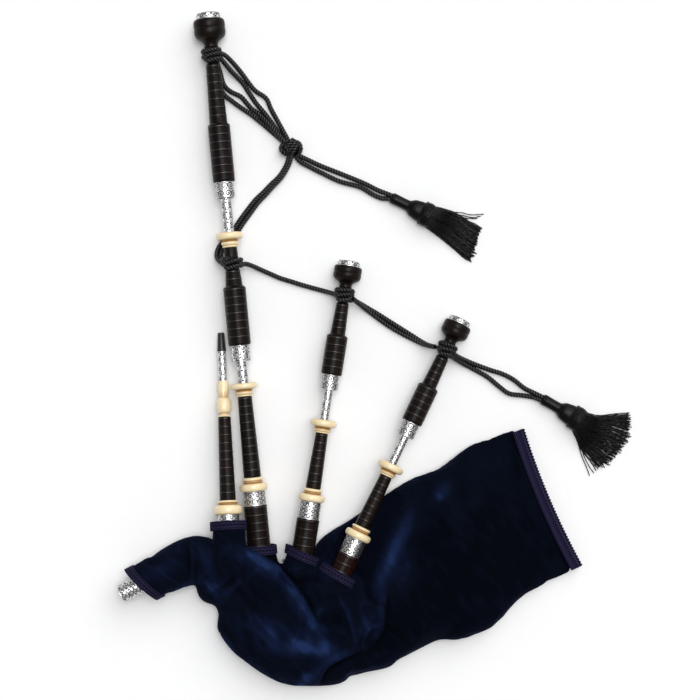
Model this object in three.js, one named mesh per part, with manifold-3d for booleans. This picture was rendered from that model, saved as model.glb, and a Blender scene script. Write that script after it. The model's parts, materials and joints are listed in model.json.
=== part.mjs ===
// A Great Highland bagpipe without its chanter, lying flat: the bag in its velvet cover, the bass drone and two
// tenor drones fanned out, the blowpipe, the open chanter stock, and the drone cords with their two tassels.
// Millimetres, +Z up. The bag's underside and the drones' bells rest on z = 0.
import * as THREE from 'three';
import { mergeVertices } from 'three/addons/utils/BufferGeometryUtils.js';
import Module from 'manifold-3d';

const wasm = await Module();
wasm.setup();

// ---------- driving dimensions ----------
const FACETS = 12; // sides of every turned piece
const FIT = 0.3; // gap between two pieces that touch
const TURN_FIT = 0.7; // gap round a tenon that turns in its socket

// Each pipe starts at its seat, on the axis where the bag's collar ends. It leans clockwise from +Y in plan,
// and drops evenly to a resting height at one station. Stations are lengths along the axis from the seat.
const PIPES = {
  bass: { seat: [-143.8, -304.8, 33], lean: -5.5, restStation: 820, restHeight: 26.2 },
  tenor_1: { seat: [-72, -319.2, 42], lean: 9.06, restStation: 446, restHeight: 23.2 },
  tenor_2: { seat: [-21, -370.7, 58.6], lean: 25.6, restStation: 446, restHeight: 23.2 },
  blowpipe: { seat: [-190.4, -271.2, 51], lean: -2.9, restStation: 300, restHeight: 7.5 },
  chanter: { seat: [-342.4, -380, 35], lean: -117, restStation: 100, restHeight: 35 },
};

// Bass drone stations, from the stock in the bag up to the ring cap.
const BASS = {
  stock: { start: -38, end: 78.5, radius: 18.5, bore: 9.5 },
  ferrule: { start: 56.3, radius: 18, wall: 1.2 },
  tenon: { start: 42, radius: 11.4 },
  lowerMount: { start: 78.8, rim: 91.6, end: 101.3, radius: 22.5, bead: 16.9 },
  bottomWood: { end: 230.7, low: 14, high: 11.25 },
  upperMount: { rim: 242.7, end: 252.4, radius: 22, bead: 14 },
  lowerSlide: { start: 203, end: 362, radius: 8.25, bore: 5.5 },
  middle: { start: 287.1, ferruleEnd: 312.5, cylinderEnd: 408.3, woodEnd: 469.9, rim: 482.9, end: 494.3 },
  middleRadius: { ferrule: 15, cylinder: 18, low: 13.8, high: 10.3, bead: 14, mount: 21.75 },
  middleTie: { start: 436, end: 452 },
  upperSlide: { start: 440, end: 625, radius: 8.25, bore: 5.5 },
  top: { start: 549.8, ferruleEnd: 574.7, cylinderEnd: 669.4, tieStart: 766, tieEnd: 790 },
  topRadius: { ferrule: 15, cylinder: 17.7, low: 14.25, high: 11.3, groove: 9.5, neck: 11.2 },
  bell: { start: 800, end: 836.7, radius: 25.5 },
  cap: { end: 847.1, radius: 19.2, bore: 7 },
  bore: 5,
};

// Tenor drone stations, the same on both tenors.
const TENOR = {
  stock: { start: -38, end: 77.5, radius: 18.2, bore: 8.5 },
  ferrule: { start: 50.2, radius: 17, wall: 1.2 },
  tenon: { start: 42, radius: 10.4 },
  lowerMount: { start: 77.8, rim: 89.9, end: 98.8, radius: 21.5, bead: 15.5 },
  bottomWood: { end: 187.9, low: 12.25, high: 9.85 },
  upperMount: { rim: 198.2, end: 209.7, radius: 21.5, bead: 13.75 },
  lowerSlide: { start: 166, end: 330, radius: 6.9, bore: 4.2 },
  top: { start: 258.4, ferruleEnd: 281.9, cylinderEnd: 348, tieStart: 399.5, tieEnd: 422 },
  topRadius: { ferrule: 14, cylinder: 16.8, low: 12, high: 10, groove: 8.6, neck: 10.3 },
  bell: { start: 431, end: 458.5, radius: 22.5 },
  cap: { end: 467, radius: 17.5, bore: 6 },
  bore: 4.2,
};

// Blowpipe stations, from its stock in the bag up to the tip of the mouthpiece.
const BLOWPIPE = {
  stock: { start: -72, end: 7.7, radius: 17.5, bore: 9.5 },
  ferrule: { start: -10, radius: 16.8, wall: 1.2 },
  tenon: { start: -26, radius: 10.4 },
  lowerMount: { start: 8, rim: 23.5, end: 31.1, radius: 22.75, bead: 16.5 },
  wood: { end: 165, low: 12.9, high: 10 },
  pin: { end: 186, radius: 5.4 },
  bulb: { end: 222.7, belly: 180, bellyRadius: 12, waist: 207.5, waistRadius: 9.4, endRadius: 8.1 },
  socket: { start: 196, radius: 5.3 },
  sleeve: { end: 270.7, radius: 6.7 },
  tip: { end: 301.2, low: 7.2, high: 5.2 },
  stemBore: 4,
  mouthBore: 2.6,
};
const FLAP = { radius: 6.4, thickness: 1.2, hingeOffset: 7.2, hingeRadius: 0.8, hingeWidth: 6 };

// Chanter stock stations, from its end in the bag to its open end.
const CHANTER = {
  stock: { start: -70, end: 22.7, radius: 14.2, bore: 9 },
  ferrule: { start: 0.5, radius: 14.5, wall: 1.2 },
  socket: { start: -8, radius: 10.5 },
};
const STOCK_EASE = { radius: 2, length: 6 }; // the eased inner end of every stock
const TENON_ROOM = 2; // depth of a socket past its tenon

// The bag lies flat: a plan outline, a height over its middle, and a low seam round its edge.
const BAG_OUTLINE = [
  [-205, -322], [-222, -385], [-211, -447], [-172, -493], [-103, -531], [-50, -537], [10, -524], [66, -507],
  [130, -474], [185, -464], [225, -446], [283, -392], [335, -368], [351, -345], [312, -238], [281, -164], [262, -133],
  [194, -152], [143, -183], [82, -214], [7, -273], [-50, -306], [-120, -330],
];
const BAG = { centre: [40, -395], height: 72, seam: 14, flat: 0.6, crown: 0.75, around: 30, across: 10 };
const COVER_WALL = 2.5;
const BAG_WALL = 2.5;
// The bag sinks under the second tenor drone, which lies across it.
const DENT = { start: 22, end: 150, depth: 26.5, halfWidth: 24, slope: 0.8 };
// Each collar is a sleeve of the cover along its pipe: the bag's end, the root and the mouth.
const COLLARS = {
  bass: { inner: -75, root: -40, rootRadius: 29, mouth: -8, mouthRadius: 27, pipe: BASS },
  tenor_1: { inner: -75, root: -40, rootRadius: 29, mouth: -2, mouthRadius: 27, pipe: TENOR },
  tenor_2: { inner: -60, root: -30, rootRadius: 29, mouth: 20, mouthRadius: 28.5, pipe: TENOR },
  blowpipe: { inner: -108, root: -72, rootRadius: 26.5, mouth: -2, mouthRadius: 27.5, pipe: BLOWPIPE },
  chanter: { inner: -195, root: -95, rootRadius: 35, mouth: 0, mouthRadius: 34, pipe: CHANTER },
};
const COLLAR_FACETS = 10;
const COLLAR_GRIP = 8; // length of the collar's tight mouth
const TIE_IN = { taper: 14, length: 18 }; // the inner bag's taper and cuff, tied round each stock

// The trim closes the bag's back edge, from its top corner to its low one. inner is its gap to the bag.
const TRIM = { top: [268, -131], low: [351, -345], width: 13, thickness: 5, height: 14, inner: 1.5, bulge: 5 };

// Cords: 6.6 mm twisted cord. Each route is centre points that lie on the ground or rise to a tie.
const CORD_RADIUS = 3.3;
const CORD_SIDES = 8;
const CORD_STEP = 16; // length of each straight part of a cord
const GROUND = 3.9; // height of a lying cord's centre
const ROUTES = {
  cord_upper_strands: [
    [-178, 452, 20], [-166, 442, 12], [-152, 425, 5.5], [-139, 405, GROUND], [-128, 385, GROUND],
    [-117, 362, GROUND], [-106, 342, GROUND + 2],
  ],
  cord_lower_strands: [
    [-99, 311, GROUND + 2], [-103, 296, GROUND], [-122, 271, GROUND], [-150, 236, GROUND],
    [-172, 206, GROUND], [-187, 187, GROUND], [-202, 172, GROUND], [-211, 161, 8], [-210.5, 150, 17],
  ],
  cord_tassel_1_strands: [
    [-71, 315, GROUND + 2], [-50, 301, GROUND], [-26, 289, GROUND], [2, 278, GROUND], [34, 262, GROUND + 1],
    [65, 245.5, 6.5],
  ],
  cord_span_1: [
    [-159, 137, 19], [-148, 131, 9], [-132, 124, GROUND], [-110, 115, GROUND], [-88, 109, GROUND],
    [-64, 103, 4.5], [-48, 99, 9], [-37, 96, 14],
  ],
  cord_span_2: [
    [21, 77, 15], [34, 69, 8], [52, 56, GROUND], [78, 37.6, GROUND], [100, 25, GROUND], [116, 16, 7],
    [128, 9.5, 13],
  ],
  cord_tassel_2_strands: [
    [181, -18, 14], [196, -25, 8], [216, -35, GROUND], [245, -50, GROUND], [272, -64, GROUND + 1],
    [309, -77, 6.5],
  ],
};
const KNOT = { centre: [-90.4, 326, 9.5], size: [17, 13, 9], turn: 25 };
const TIE_RADIUS = { bass: 15.5, middle: 15, tenor: 14.5 };
// Tassels: sections at stations from the tip, each with half its width and half its height.
const TASSEL_HEAD = [[0, 8, 5.5], [2, 9, 6], [30, 9, 6.5], [44, 14.5, 9], [62, 19.5, 10], [73, 17.5, 9]];
const TASSELS = {
  tassel_1: { head: [69.5, 244], heading: -26, skirt: [[95, 22, 6.5], [130, 27, 4], [158, 26, 2.5]] },
  tassel_2: { head: [312.6, -79.6], heading: -30, skirt: [[95, 28, 6.5], [128, 50, 3.5], [152, 40, 2.5]] },
};
const TABLE_GAP = 0.6; // a tassel's clearance over the table

// ---------- materials ----------
function finish(color, roughness, metalness = 0) {
  return new THREE.MeshStandardMaterial({ color, roughness, metalness });
}
const blackwood = () => finish(0x17110f, 0.32);
const nickel = () => finish(0xc8cbcf, 0.25, 1);
const ivory = () => finish(0xefe2c2, 0.4);
const velvet = () => finish(0x0d1738, 0.95);
const braid = () => finish(0x221f45, 0.8);
const cord = () => finish(0x0c0b0e, 0.75);
const leather = () => finish(0x7a5a3c, 0.8);
const cane = () => finish(0xc9ac6a, 0.6);
const rubber = () => finish(0x1c1c1d, 0.7);

// ---------- shapes ----------
const whole = new THREE.Group();

function pipeDirection({ seat, lean, restStation, restHeight }) {
  const drop = Math.asin((seat[2] - restHeight) / restStation);
  const turn = THREE.MathUtils.degToRad(lean);
  return new THREE.Vector3(Math.sin(turn) * Math.cos(drop), Math.cos(turn) * Math.cos(drop), -Math.sin(drop));
}

function pipeGroup(pipe) {
  const group = new THREE.Group();
  group.position.set(...pipe.seat);
  group.quaternion.setFromUnitVectors(new THREE.Vector3(0, 0, 1), pipeDirection(pipe));
  group.updateMatrix();
  whole.add(group);
  return group;
}

function addPiece(parent, name, geometry, material) {
  const mesh = new THREE.Mesh(geometry, material);
  mesh.name = name;
  parent.add(mesh);
  return mesh;
}

// A solid turned round +Z from a profile of [station, radius] points.
function turned(profile, facets = FACETS) {
  const points = profile.map(([station, radius]) => new THREE.Vector2(radius, station));
  return new THREE.LatheGeometry(points, facets).rotateX(Math.PI / 2);
}

// A turned piece with a bore: the outside and the bore, both listed from the low end to the high end.
function bored(outside, bore, facets = FACETS) {
  return turned([...outside, ...bore.slice().reverse(), outside[0]], facets);
}

function ring(start, end, radius, bore) {
  return bored([[start, radius], [end, radius]], [[start, bore], [end, bore]]);
}

// Points of a rounded outline between two stations that swells from a rim to a full radius.
function rounded(start, end, rim, full, steps = 4) {
  const points = [];
  for (let step = 0; step <= steps; step += 1) {
    const angle = (step / steps) * Math.PI;
    const station = start + ((end - start) * (1 - Math.cos(angle))) / 2;
    points.push([station, rim + (full - rim) * Math.sin(angle)]);
  }
  return points;
}

// A projecting mount: a thick disc with an eased edge and a bead beside it, on a plain bore.
function mount(discStart, discEnd, discRadius, beadStart, beadEnd, beadRadius, bore) {
  const ease = 2;
  const disc = [
    [discStart, discRadius - ease], [discStart + ease, discRadius],
    [discEnd - ease, discRadius], [discEnd, discRadius - ease],
  ];
  const bead = rounded(beadStart, beadEnd, beadRadius - 2.5, beadRadius);
  const outside = discStart < beadStart ? [...disc, ...bead] : [...bead, ...disc];
  const first = outside[0][0];
  const last = outside[outside.length - 1][0];
  return bored(outside, [[first, bore], [last, bore]]);
}

function toSolid(geometry) {
  const plain = geometry.clone();
  plain.deleteAttribute('normal');
  plain.deleteAttribute('uv');
  const merged = mergeVertices(plain, 1e-4);
  const vertProperties = new Float32Array(merged.attributes.position.array);
  const triVerts = new Uint32Array(merged.index.array);
  return new wasm.Manifold(new wasm.Mesh({ numProp: 3, vertProperties, triVerts }));
}

function fromSolid(solid) {
  const mesh = solid.getMesh();
  const geometry = new THREE.BufferGeometry();
  geometry.setAttribute('position', new THREE.BufferAttribute(mesh.vertProperties, 3));
  geometry.setIndex(new THREE.BufferAttribute(mesh.triVerts, 1));
  geometry.computeVertexNormals();
  return geometry;
}

// A stock: a wooden socket tied into the bag, with an eased inner end and a nickel ferrule on its outer end.
function buildStock(group, name, { stock, ferrule }, socketStart, socketRadius) {
  const neck = ferrule.radius - ferrule.wall - FIT;
  const outside = [
    [stock.start, stock.radius - STOCK_EASE.radius], [stock.start + STOCK_EASE.length, stock.radius],
    [ferrule.start - FIT, stock.radius], [ferrule.start - FIT, neck], [stock.end, neck],
  ];
  const bore = [
    [stock.start, stock.bore], [socketStart, stock.bore], [socketStart, socketRadius],
    [stock.end, socketRadius],
  ];
  addPiece(group, `${name}_stock`, bored(outside, bore), blackwood());
  const sleeve = ring(ferrule.start, stock.end, ferrule.radius, ferrule.radius - ferrule.wall);
  addPiece(group, `${name}_stock_ferrule`, sleeve, nickel());
}

function tenonStock(group, name, d) {
  buildStock(group, name, d, d.tenon.start - TENON_ROOM, d.tenon.radius + TURN_FIT);
}

// ---------- drones ----------

function droneBottom(group, name, d) {
  const { tenon, lowerMount, bottomWood, upperMount, lowerSlide } = d;
  const core = tenon.radius - 1;
  const topCore = lowerSlide.radius + FIT + 1.3;
  const outside = [
    [tenon.start, tenon.radius], [lowerMount.start - FIT, tenon.radius], [lowerMount.start - FIT, core],
    [lowerMount.end + FIT, core], [lowerMount.end + FIT, bottomWood.low], [bottomWood.end - FIT, bottomWood.high],
    [bottomWood.end - FIT, topCore], [upperMount.end, topCore],
  ];
  const slot = lowerSlide.start - FIT;
  const bore = [
    [tenon.start, d.bore], [slot, d.bore], [slot, lowerSlide.radius + FIT],
    [upperMount.end, lowerSlide.radius + FIT],
  ];
  addPiece(group, `${name}_bottom_joint`, bored(outside, bore), blackwood());
  const low = mount(lowerMount.start, lowerMount.rim, lowerMount.radius,
    lowerMount.rim, lowerMount.end, lowerMount.bead, core + FIT);
  addPiece(group, `${name}_lower_mount`, low, ivory());
  const high = mount(upperMount.rim, upperMount.end, upperMount.radius,
    bottomWood.end, upperMount.rim, upperMount.bead, topCore + FIT);
  addPiece(group, `${name}_upper_mount`, high, ivory());
  addPiece(group, `${name}_lower_slide`,
    ring(lowerSlide.start, lowerSlide.end, lowerSlide.radius, lowerSlide.bore), nickel());
}

function droneTop(group, name, d, slide) {
  const { top, topRadius, bell, cap } = d;
  const neck = topRadius.ferrule - 1.2 - FIT;
  const outside = [
    [top.start, neck], [top.ferruleEnd + FIT, neck], [top.ferruleEnd + FIT, topRadius.cylinder - 1.5],
    [top.ferruleEnd + 3, topRadius.cylinder], [top.cylinderEnd - 3, topRadius.cylinder],
    [top.cylinderEnd, topRadius.low], [top.tieStart - 2, topRadius.high], [top.tieStart - FIT, topRadius.groove],
    [top.tieEnd + FIT, topRadius.groove], [top.tieEnd + 2, topRadius.neck], [bell.start - 3, topRadius.neck],
    [bell.start + 3, bell.radius * 0.72], [bell.start + 8, bell.radius * 0.95], [bell.start + 12, bell.radius],
    [bell.end - 10, bell.radius], [bell.end - 4, bell.radius * 0.93], [bell.end, bell.radius * 0.8],
  ];
  const travelEnd = slide.end + (top.start - slide.exposedFrom) + 2;
  const bore = [
    [top.start, slide.radius + FIT], [travelEnd, slide.radius + FIT], [travelEnd, d.bore],
    [bell.start, d.bore], [bell.start + 6, cap.bore], [bell.end, cap.bore],
  ];
  addPiece(group, `${name}_top_joint`, bored(outside, bore), blackwood());
  addPiece(group, `${name}_top_ferrule`,
    ring(top.start, top.ferruleEnd, topRadius.ferrule, topRadius.ferrule - 1.2), nickel());
  addPiece(group, `${name}_ring_cap`,
    bored([[bell.end + FIT, cap.radius], [cap.end - 2, cap.radius], [cap.end, cap.radius - 2]],
      [[bell.end + FIT, cap.bore], [cap.end, cap.bore]]), nickel());
}

// The wrapped cord in a groove: a soft-edged ring.
function tie(group, name, start, end, grooveRadius, radius) {
  const inside = grooveRadius + FIT;
  const outside = [[start, inside + 1.5], ...rounded(start + 1, end - 1, radius - 2, radius), [end, inside + 1.5]];
  addPiece(group, name, bored(outside, [[start, inside], [end, inside]]), cord());
}

function droneReed(group, name, d, length, radius) {
  const seat = d.tenon.start;
  const outside = [
    [seat - length, radius * 0.75], [seat - length + 4, radius], [seat - 6, radius],
    [seat - 1, d.bore - 0.5], [seat + 9, d.bore - 0.9],
  ];
  const bore = [[seat - length + 5, 1.6], [seat + 9, 1.6]];
  addPiece(group, `${name}_reed`, turned([[seat - length, 0], ...outside, ...bore.reverse(),
    [seat - length + 5, 0]], 12), cane());
}

function buildBass() {
  const group = pipeGroup(PIPES.bass);
  const { middle, middleRadius, middleTie, lowerSlide, upperSlide, upperMount, bore } = BASS;
  tenonStock(group, 'bass', BASS);
  droneBottom(group, 'bass', BASS);
  droneReed(group, 'bass', BASS, 80, 5.2);

  const neck = middleRadius.ferrule - 1.2 - FIT;
  const core = upperSlide.radius + FIT + 1.3;
  const tieWood = middleRadius.high + 1.2;
  const outside = [
    [middle.start, neck], [middle.ferruleEnd + FIT, neck], [middle.ferruleEnd + FIT, middleRadius.cylinder - 1.5],
    [middle.ferruleEnd + 3, middleRadius.cylinder], [middle.cylinderEnd - 3, middleRadius.cylinder],
    [middle.cylinderEnd, middleRadius.low], [middleTie.start - 2, tieWood], [middleTie.start - FIT, tieWood - 1],
    [middleTie.end + FIT, tieWood - 1], [middleTie.end + 2, tieWood - 0.5],
    [middle.woodEnd - FIT, middleRadius.high], [middle.woodEnd - FIT, core], [middle.end, core],
  ];
  const travelEnd = lowerSlide.end + (middle.start - upperMount.end) + 2;
  const slot = upperSlide.start - FIT;
  const inside = [
    [middle.start, lowerSlide.radius + FIT], [travelEnd, lowerSlide.radius + FIT], [travelEnd, bore],
    [slot, bore], [slot, upperSlide.radius + FIT], [middle.end, upperSlide.radius + FIT],
  ];
  addPiece(group, 'bass_middle_joint', bored(outside, inside), blackwood());
  addPiece(group, 'bass_middle_ferrule',
    ring(middle.start, middle.ferruleEnd, middleRadius.ferrule, middleRadius.ferrule - 1.2), nickel());
  const middleMount = mount(middle.rim, middle.end, middleRadius.mount,
    middle.woodEnd, middle.rim, middleRadius.bead, core + FIT);
  addPiece(group, 'bass_middle_mount', middleMount, ivory());
  addPiece(group, 'bass_upper_slide',
    ring(upperSlide.start, upperSlide.end, upperSlide.radius, upperSlide.bore), nickel());
  tie(group, 'cord_middle_tie', middleTie.start, middleTie.end, tieWood - 1, TIE_RADIUS.middle);

  droneTop(group, 'bass', BASS, { ...upperSlide, exposedFrom: middle.end });
  tie(group, 'cord_bass_tie', BASS.top.tieStart, BASS.top.tieEnd, BASS.topRadius.groove, TIE_RADIUS.bass);
}

function buildTenor(name) {
  const group = pipeGroup(PIPES[name]);
  tenonStock(group, name, TENOR);
  droneBottom(group, name, TENOR);
  droneReed(group, name, TENOR, 62, 4.6);
  droneTop(group, name, TENOR, { ...TENOR.lowerSlide, exposedFrom: TENOR.upperMount.end });
  tie(group, `cord_${name}_tie`, TENOR.top.tieStart, TENOR.top.tieEnd, TENOR.topRadius.groove, TIE_RADIUS.tenor);
}

// ---------- blowpipe and chanter stock ----------
function buildBlowpipe() {
  const group = pipeGroup(PIPES.blowpipe);
  const { tenon, lowerMount, wood, pin, bulb, socket, sleeve, tip } = BLOWPIPE;
  tenonStock(group, 'blowpipe', BLOWPIPE);

  const core = tenon.radius - 1;
  const outside = [
    [tenon.start, tenon.radius], [lowerMount.start - FIT, tenon.radius], [lowerMount.start - FIT, core],
    [lowerMount.end + FIT, core], [lowerMount.end + FIT, wood.low], [wood.end - FIT, wood.high],
    [wood.end - FIT, pin.radius], [pin.end, pin.radius],
  ];
  const stemBore = [[tenon.start, BLOWPIPE.stemBore], [pin.end, BLOWPIPE.stemBore]];
  addPiece(group, 'blowpipe_stem', bored(outside, stemBore), blackwood());
  addPiece(group, 'blowpipe_lower_mount', mount(lowerMount.start, lowerMount.rim, lowerMount.radius,
    lowerMount.rim, lowerMount.end, lowerMount.bead, core + FIT), ivory());

  const bulbOutside = [
    [wood.end, wood.high], [wood.end + 6, bulb.bellyRadius - 0.8], [bulb.belly, bulb.bellyRadius],
    [bulb.belly + 12, bulb.bellyRadius - 0.9], [bulb.waist, bulb.waistRadius], [bulb.end, bulb.endRadius],
  ];
  const bulbBore = [
    [wood.end, pin.radius + FIT], [pin.end + FIT, pin.radius + FIT], [pin.end + FIT, BLOWPIPE.stemBore],
    [socket.start, BLOWPIPE.stemBore], [socket.start, socket.radius], [bulb.end, socket.radius],
  ];
  addPiece(group, 'blowpipe_bulb_mount', bored(bulbOutside, bulbBore), ivory());

  const mouthRadius = socket.radius - FIT;
  const mouthOutside = [
    [socket.start + FIT, mouthRadius], [sleeve.end + FIT, mouthRadius], [sleeve.end + FIT, tip.low],
    [tip.end - 4, tip.high + 0.4], [tip.end, tip.high],
  ];
  const mouthBore = [[socket.start + FIT, BLOWPIPE.mouthBore], [tip.end, BLOWPIPE.mouthBore]];
  addPiece(group, 'mouthpiece', bored(mouthOutside, mouthBore), rubber());
  addPiece(group, 'mouthpiece_sleeve', ring(bulb.end + FIT, sleeve.end, sleeve.radius, mouthRadius + FIT), nickel());
  buildFlap(group);
}

// The non-return valve: a leather flap hinged on one side of the blowpipe's lower end.
function buildFlap(group) {
  const face = BLOWPIPE.tenon.start - FIT;
  const disc = new THREE.CylinderGeometry(FLAP.radius, FLAP.radius, FLAP.thickness, 12).rotateX(Math.PI / 2);
  disc.translate(0, 0, face - FLAP.thickness / 2);
  const reach = FLAP.hingeOffset - FLAP.radius + 3;
  const tab = new THREE.BoxGeometry(FLAP.hingeWidth, reach, FLAP.thickness);
  tab.translate(0, -FLAP.hingeOffset + reach / 2, face - FLAP.thickness / 2);
  const knuckle = new THREE.CylinderGeometry(FLAP.hingeRadius, FLAP.hingeRadius, FLAP.hingeWidth, 8);
  knuckle.rotateZ(Math.PI / 2).translate(0, -FLAP.hingeOffset, face - FLAP.hingeRadius);
  const solid = toSolid(disc).add(toSolid(tab)).add(toSolid(knuckle));
  addPiece(group, 'blowpipe_valve_flap', fromSolid(solid), leather());
}

function buildChanterStock() {
  const group = pipeGroup(PIPES.chanter);
  buildStock(group, 'chanter', CHANTER, CHANTER.socket.start, CHANTER.socket.radius);
}

// ---------- bag ----------
const outline = new THREE.CatmullRomCurve3(
  BAG_OUTLINE.map(([x, y]) => new THREE.Vector3(x, y, 0)), true, 'centripetal');

// The most height the bag may have at a point, where the second tenor drone presses on it.
function dentHeight(x, y) {
  const pipe = PIPES.tenor_2;
  const direction = pipeDirection(pipe);
  const flat = Math.hypot(direction.x, direction.y);
  const dx = x - pipe.seat[0];
  const dy = y - pipe.seat[1];
  const station = (dx * direction.x + dy * direction.y) / flat;
  const aside = Math.abs(dx * direction.y - dy * direction.x) / flat;
  const beyond = Math.max(0, DENT.start - station, station - DENT.end);
  const axisHeight = pipe.seat[2] + direction.z * station;
  return axisHeight - DENT.depth + DENT.slope * (Math.max(0, aside - DENT.halfWidth) + 2 * beyond);
}

// The bag's body, a sphere drawn out to the outline, flat below and crowned above, shrunk by an inset.
function bagBody(inset) {
  const geometry = new THREE.SphereGeometry(1, BAG.around, BAG.across);
  const position = geometry.attributes.position;
  for (let index = 0; index < position.count; index += 1) {
    const up = position.getY(index);
    const spread = Math.hypot(position.getX(index), position.getZ(index));
    const turn = Math.atan2(-position.getZ(index), position.getX(index)) / (2 * Math.PI);
    const edge = outline.getPoint((turn + 1) % 1);
    const dx = edge.x - BAG.centre[0];
    const dy = edge.y - BAG.centre[1];
    const share = spread * (1 - inset / Math.hypot(dx, dy));
    const x = BAG.centre[0] + dx * share;
    const y = BAG.centre[1] + dy * share;
    const rise = up > 0 ? up ** BAG.crown : 0;
    const crown = Math.min(BAG.seam + (BAG.height - BAG.seam) * rise, dentHeight(x, y));
    const under = BAG.seam * (1 - Math.min(1, -up / BAG.flat));
    const low = under + inset;
    const z = up > 0 ? Math.max(crown - inset, BAG.seam + 0.2 * up) : Math.min(low, BAG.seam);
    position.setXYZ(index, x, y, z);
  }
  return toSolid(geometry);
}

// A closed sleeve along a pipe, in the whole's frame.
function sleeveAlong(pipe, profile, facets = COLLAR_FACETS) {
  const first = profile[0][0];
  const last = profile[profile.length - 1][0];
  const geometry = turned([[first, 0], ...profile, [last, 0]], facets);
  const frame = new THREE.Group();
  frame.position.set(...pipe.seat);
  frame.quaternion.setFromUnitVectors(new THREE.Vector3(0, 0, 1), pipeDirection(pipe));
  frame.updateMatrix();
  return toSolid(geometry.applyMatrix4(frame.matrix));
}

function buildBag() {
  const gap = COVER_WALL + FIT * 2;
  const inside = gap + BAG_WALL;
  let skin = bagBody(0);
  let hollow = bagBody(COVER_WALL);
  let bag = bagBody(gap);
  let bagHollow = bagBody(inside);
  for (const [name, collar] of Object.entries(COLLARS)) {
    const pipe = PIPES[name];
    const { inner, root, rootRadius, mouth, mouthRadius } = collar;
    const { stock } = collar.pipe;
    const grip = stock.radius + FIT * 2;
    const cuffStart = root + TIE_IN.taper;
    const cuffEnd = Math.min(cuffStart + TIE_IN.length, mouth - COLLAR_GRIP - 8);
    skin = skin.add(sleeveAlong(pipe, [[inner, rootRadius * 0.5], [root, rootRadius], [mouth, mouthRadius]]));
    hollow = hollow.add(sleeveAlong(pipe, [
      [inner + COVER_WALL, rootRadius * 0.5 - COVER_WALL], [root, rootRadius - COVER_WALL],
      [mouth - COLLAR_GRIP - 6, mouthRadius - COVER_WALL], [mouth - COLLAR_GRIP, grip],
    ]));
    bag = bag.add(sleeveAlong(pipe, [[inner + gap, rootRadius * 0.5 - gap], [root, rootRadius - gap],
      [cuffStart, grip + BAG_WALL], [cuffEnd, grip + BAG_WALL]]));
    bagHollow = bagHollow.add(sleeveAlong(pipe, [[inner + inside, rootRadius * 0.5 - inside],
      [root, rootRadius - inside], [cuffStart, grip]]));
    const room = sleeveAlong(pipe, [[stock.start - 2, grip], [mouth + 40, grip]], FACETS);
    hollow = hollow.add(room);
    bagHollow = bagHollow.add(room);
  }
  addPiece(whole, 'bag_cover', fromSolid(skin.subtract(hollow)), velvet());
  addPiece(whole, 'inner_bag', fromSolid(bag.subtract(bagHollow)), leather());
}

function buildTrim() {
  const top = new THREE.Vector2(...TRIM.top);
  const low = new THREE.Vector2(...TRIM.low);
  const along = low.clone().sub(top).normalize();
  const out = new THREE.Vector2(-along.y, along.x);
  const middle = top.clone().add(low).multiplyScalar(0.5);
  const place = (point, aside) => point.clone().addScaledVector(out, aside).toArray();
  const outer = TRIM.inner + TRIM.width;
  const shape = new THREE.Shape();
  shape.moveTo(...place(top, TRIM.inner));
  shape.lineTo(...place(top, outer));
  shape.quadraticCurveTo(...place(middle, outer + TRIM.bulge), ...place(low, outer));
  shape.lineTo(...place(low, TRIM.inner));
  shape.quadraticCurveTo(...place(middle, TRIM.inner + TRIM.bulge), ...place(top, TRIM.inner));
  const geometry = new THREE.ExtrudeGeometry(shape, { depth: TRIM.thickness, bevelEnabled: false });
  geometry.translate(0, 0, TRIM.height - TRIM.thickness / 2);
  addPiece(whole, 'back_trim', geometry, braid());
}

// ---------- cords ----------
function cordTube(points) {
  const corners = [];
  for (let side = 0; side < CORD_SIDES; side += 1) {
    const angle = (side / CORD_SIDES) * 2 * Math.PI;
    corners.push(new THREE.Vector2(CORD_RADIUS * Math.cos(angle), CORD_RADIUS * Math.sin(angle)));
  }
  const section = new THREE.Shape(corners);
  const path = new THREE.CatmullRomCurve3(points.map((point) => new THREE.Vector3(...point)));
  const steps = Math.round(path.getLength() / CORD_STEP);
  return new THREE.ExtrudeGeometry(section, { steps, extrudePath: path, bevelEnabled: false });
}

function buildCords() {
  for (const [name, points] of Object.entries(ROUTES)) {
    addPiece(whole, name, cordTube(points), cord());
  }
  const knot = new THREE.SphereGeometry(1, 12, 8).scale(...KNOT.size);
  knot.rotateZ(THREE.MathUtils.degToRad(-KNOT.turn)).translate(...KNOT.centre);
  addPiece(whole, 'cord_knot', knot, cord());
}

// A tassel lying flat: a wrapped barrel, a knob and a skirt that fans out and thins towards its end.
function buildTassel(name, { head, heading, skirt }) {
  const sections = [...TASSEL_HEAD, ...skirt];
  const end = sections[sections.length - 1][0];
  const geometry = turned([[0, 0], ...sections.map(([station, width]) => [station, width]), [end, 0]]);
  const position = geometry.attributes.position;
  for (let index = 0; index < position.count; index += 1) {
    const station = position.getZ(index);
    const [, width, height] = sections.find((section) => Math.abs(section[0] - station) < FIT);
    position.setY(index, (position.getY(index) * height) / width + height + TABLE_GAP);
  }
  geometry.rotateY(Math.PI / 2).rotateX(Math.PI / 2);
  geometry.computeVertexNormals();
  const mesh = addPiece(whole, name, geometry, cord());
  mesh.position.set(head[0], head[1], 0);
  mesh.rotation.z = THREE.MathUtils.degToRad(heading);
}

buildBass();
buildTenor('tenor_1');
buildTenor('tenor_2');
buildBlowpipe();
buildChanterStock();
buildBag();
buildTrim();
buildCords();
for (const [name, place] of Object.entries(TASSELS)) buildTassel(name, place);

export default whole;
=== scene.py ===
"""Bagpipes lying on a table: a velvet bag, turned drones and blowpipe, a chanter stock, drone cords and tassels."""
import json
import math

import bpy
import numpy as np
from mathutils import Matrix, Vector, noise
from mathutils.bvhtree import BVHTree

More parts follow.
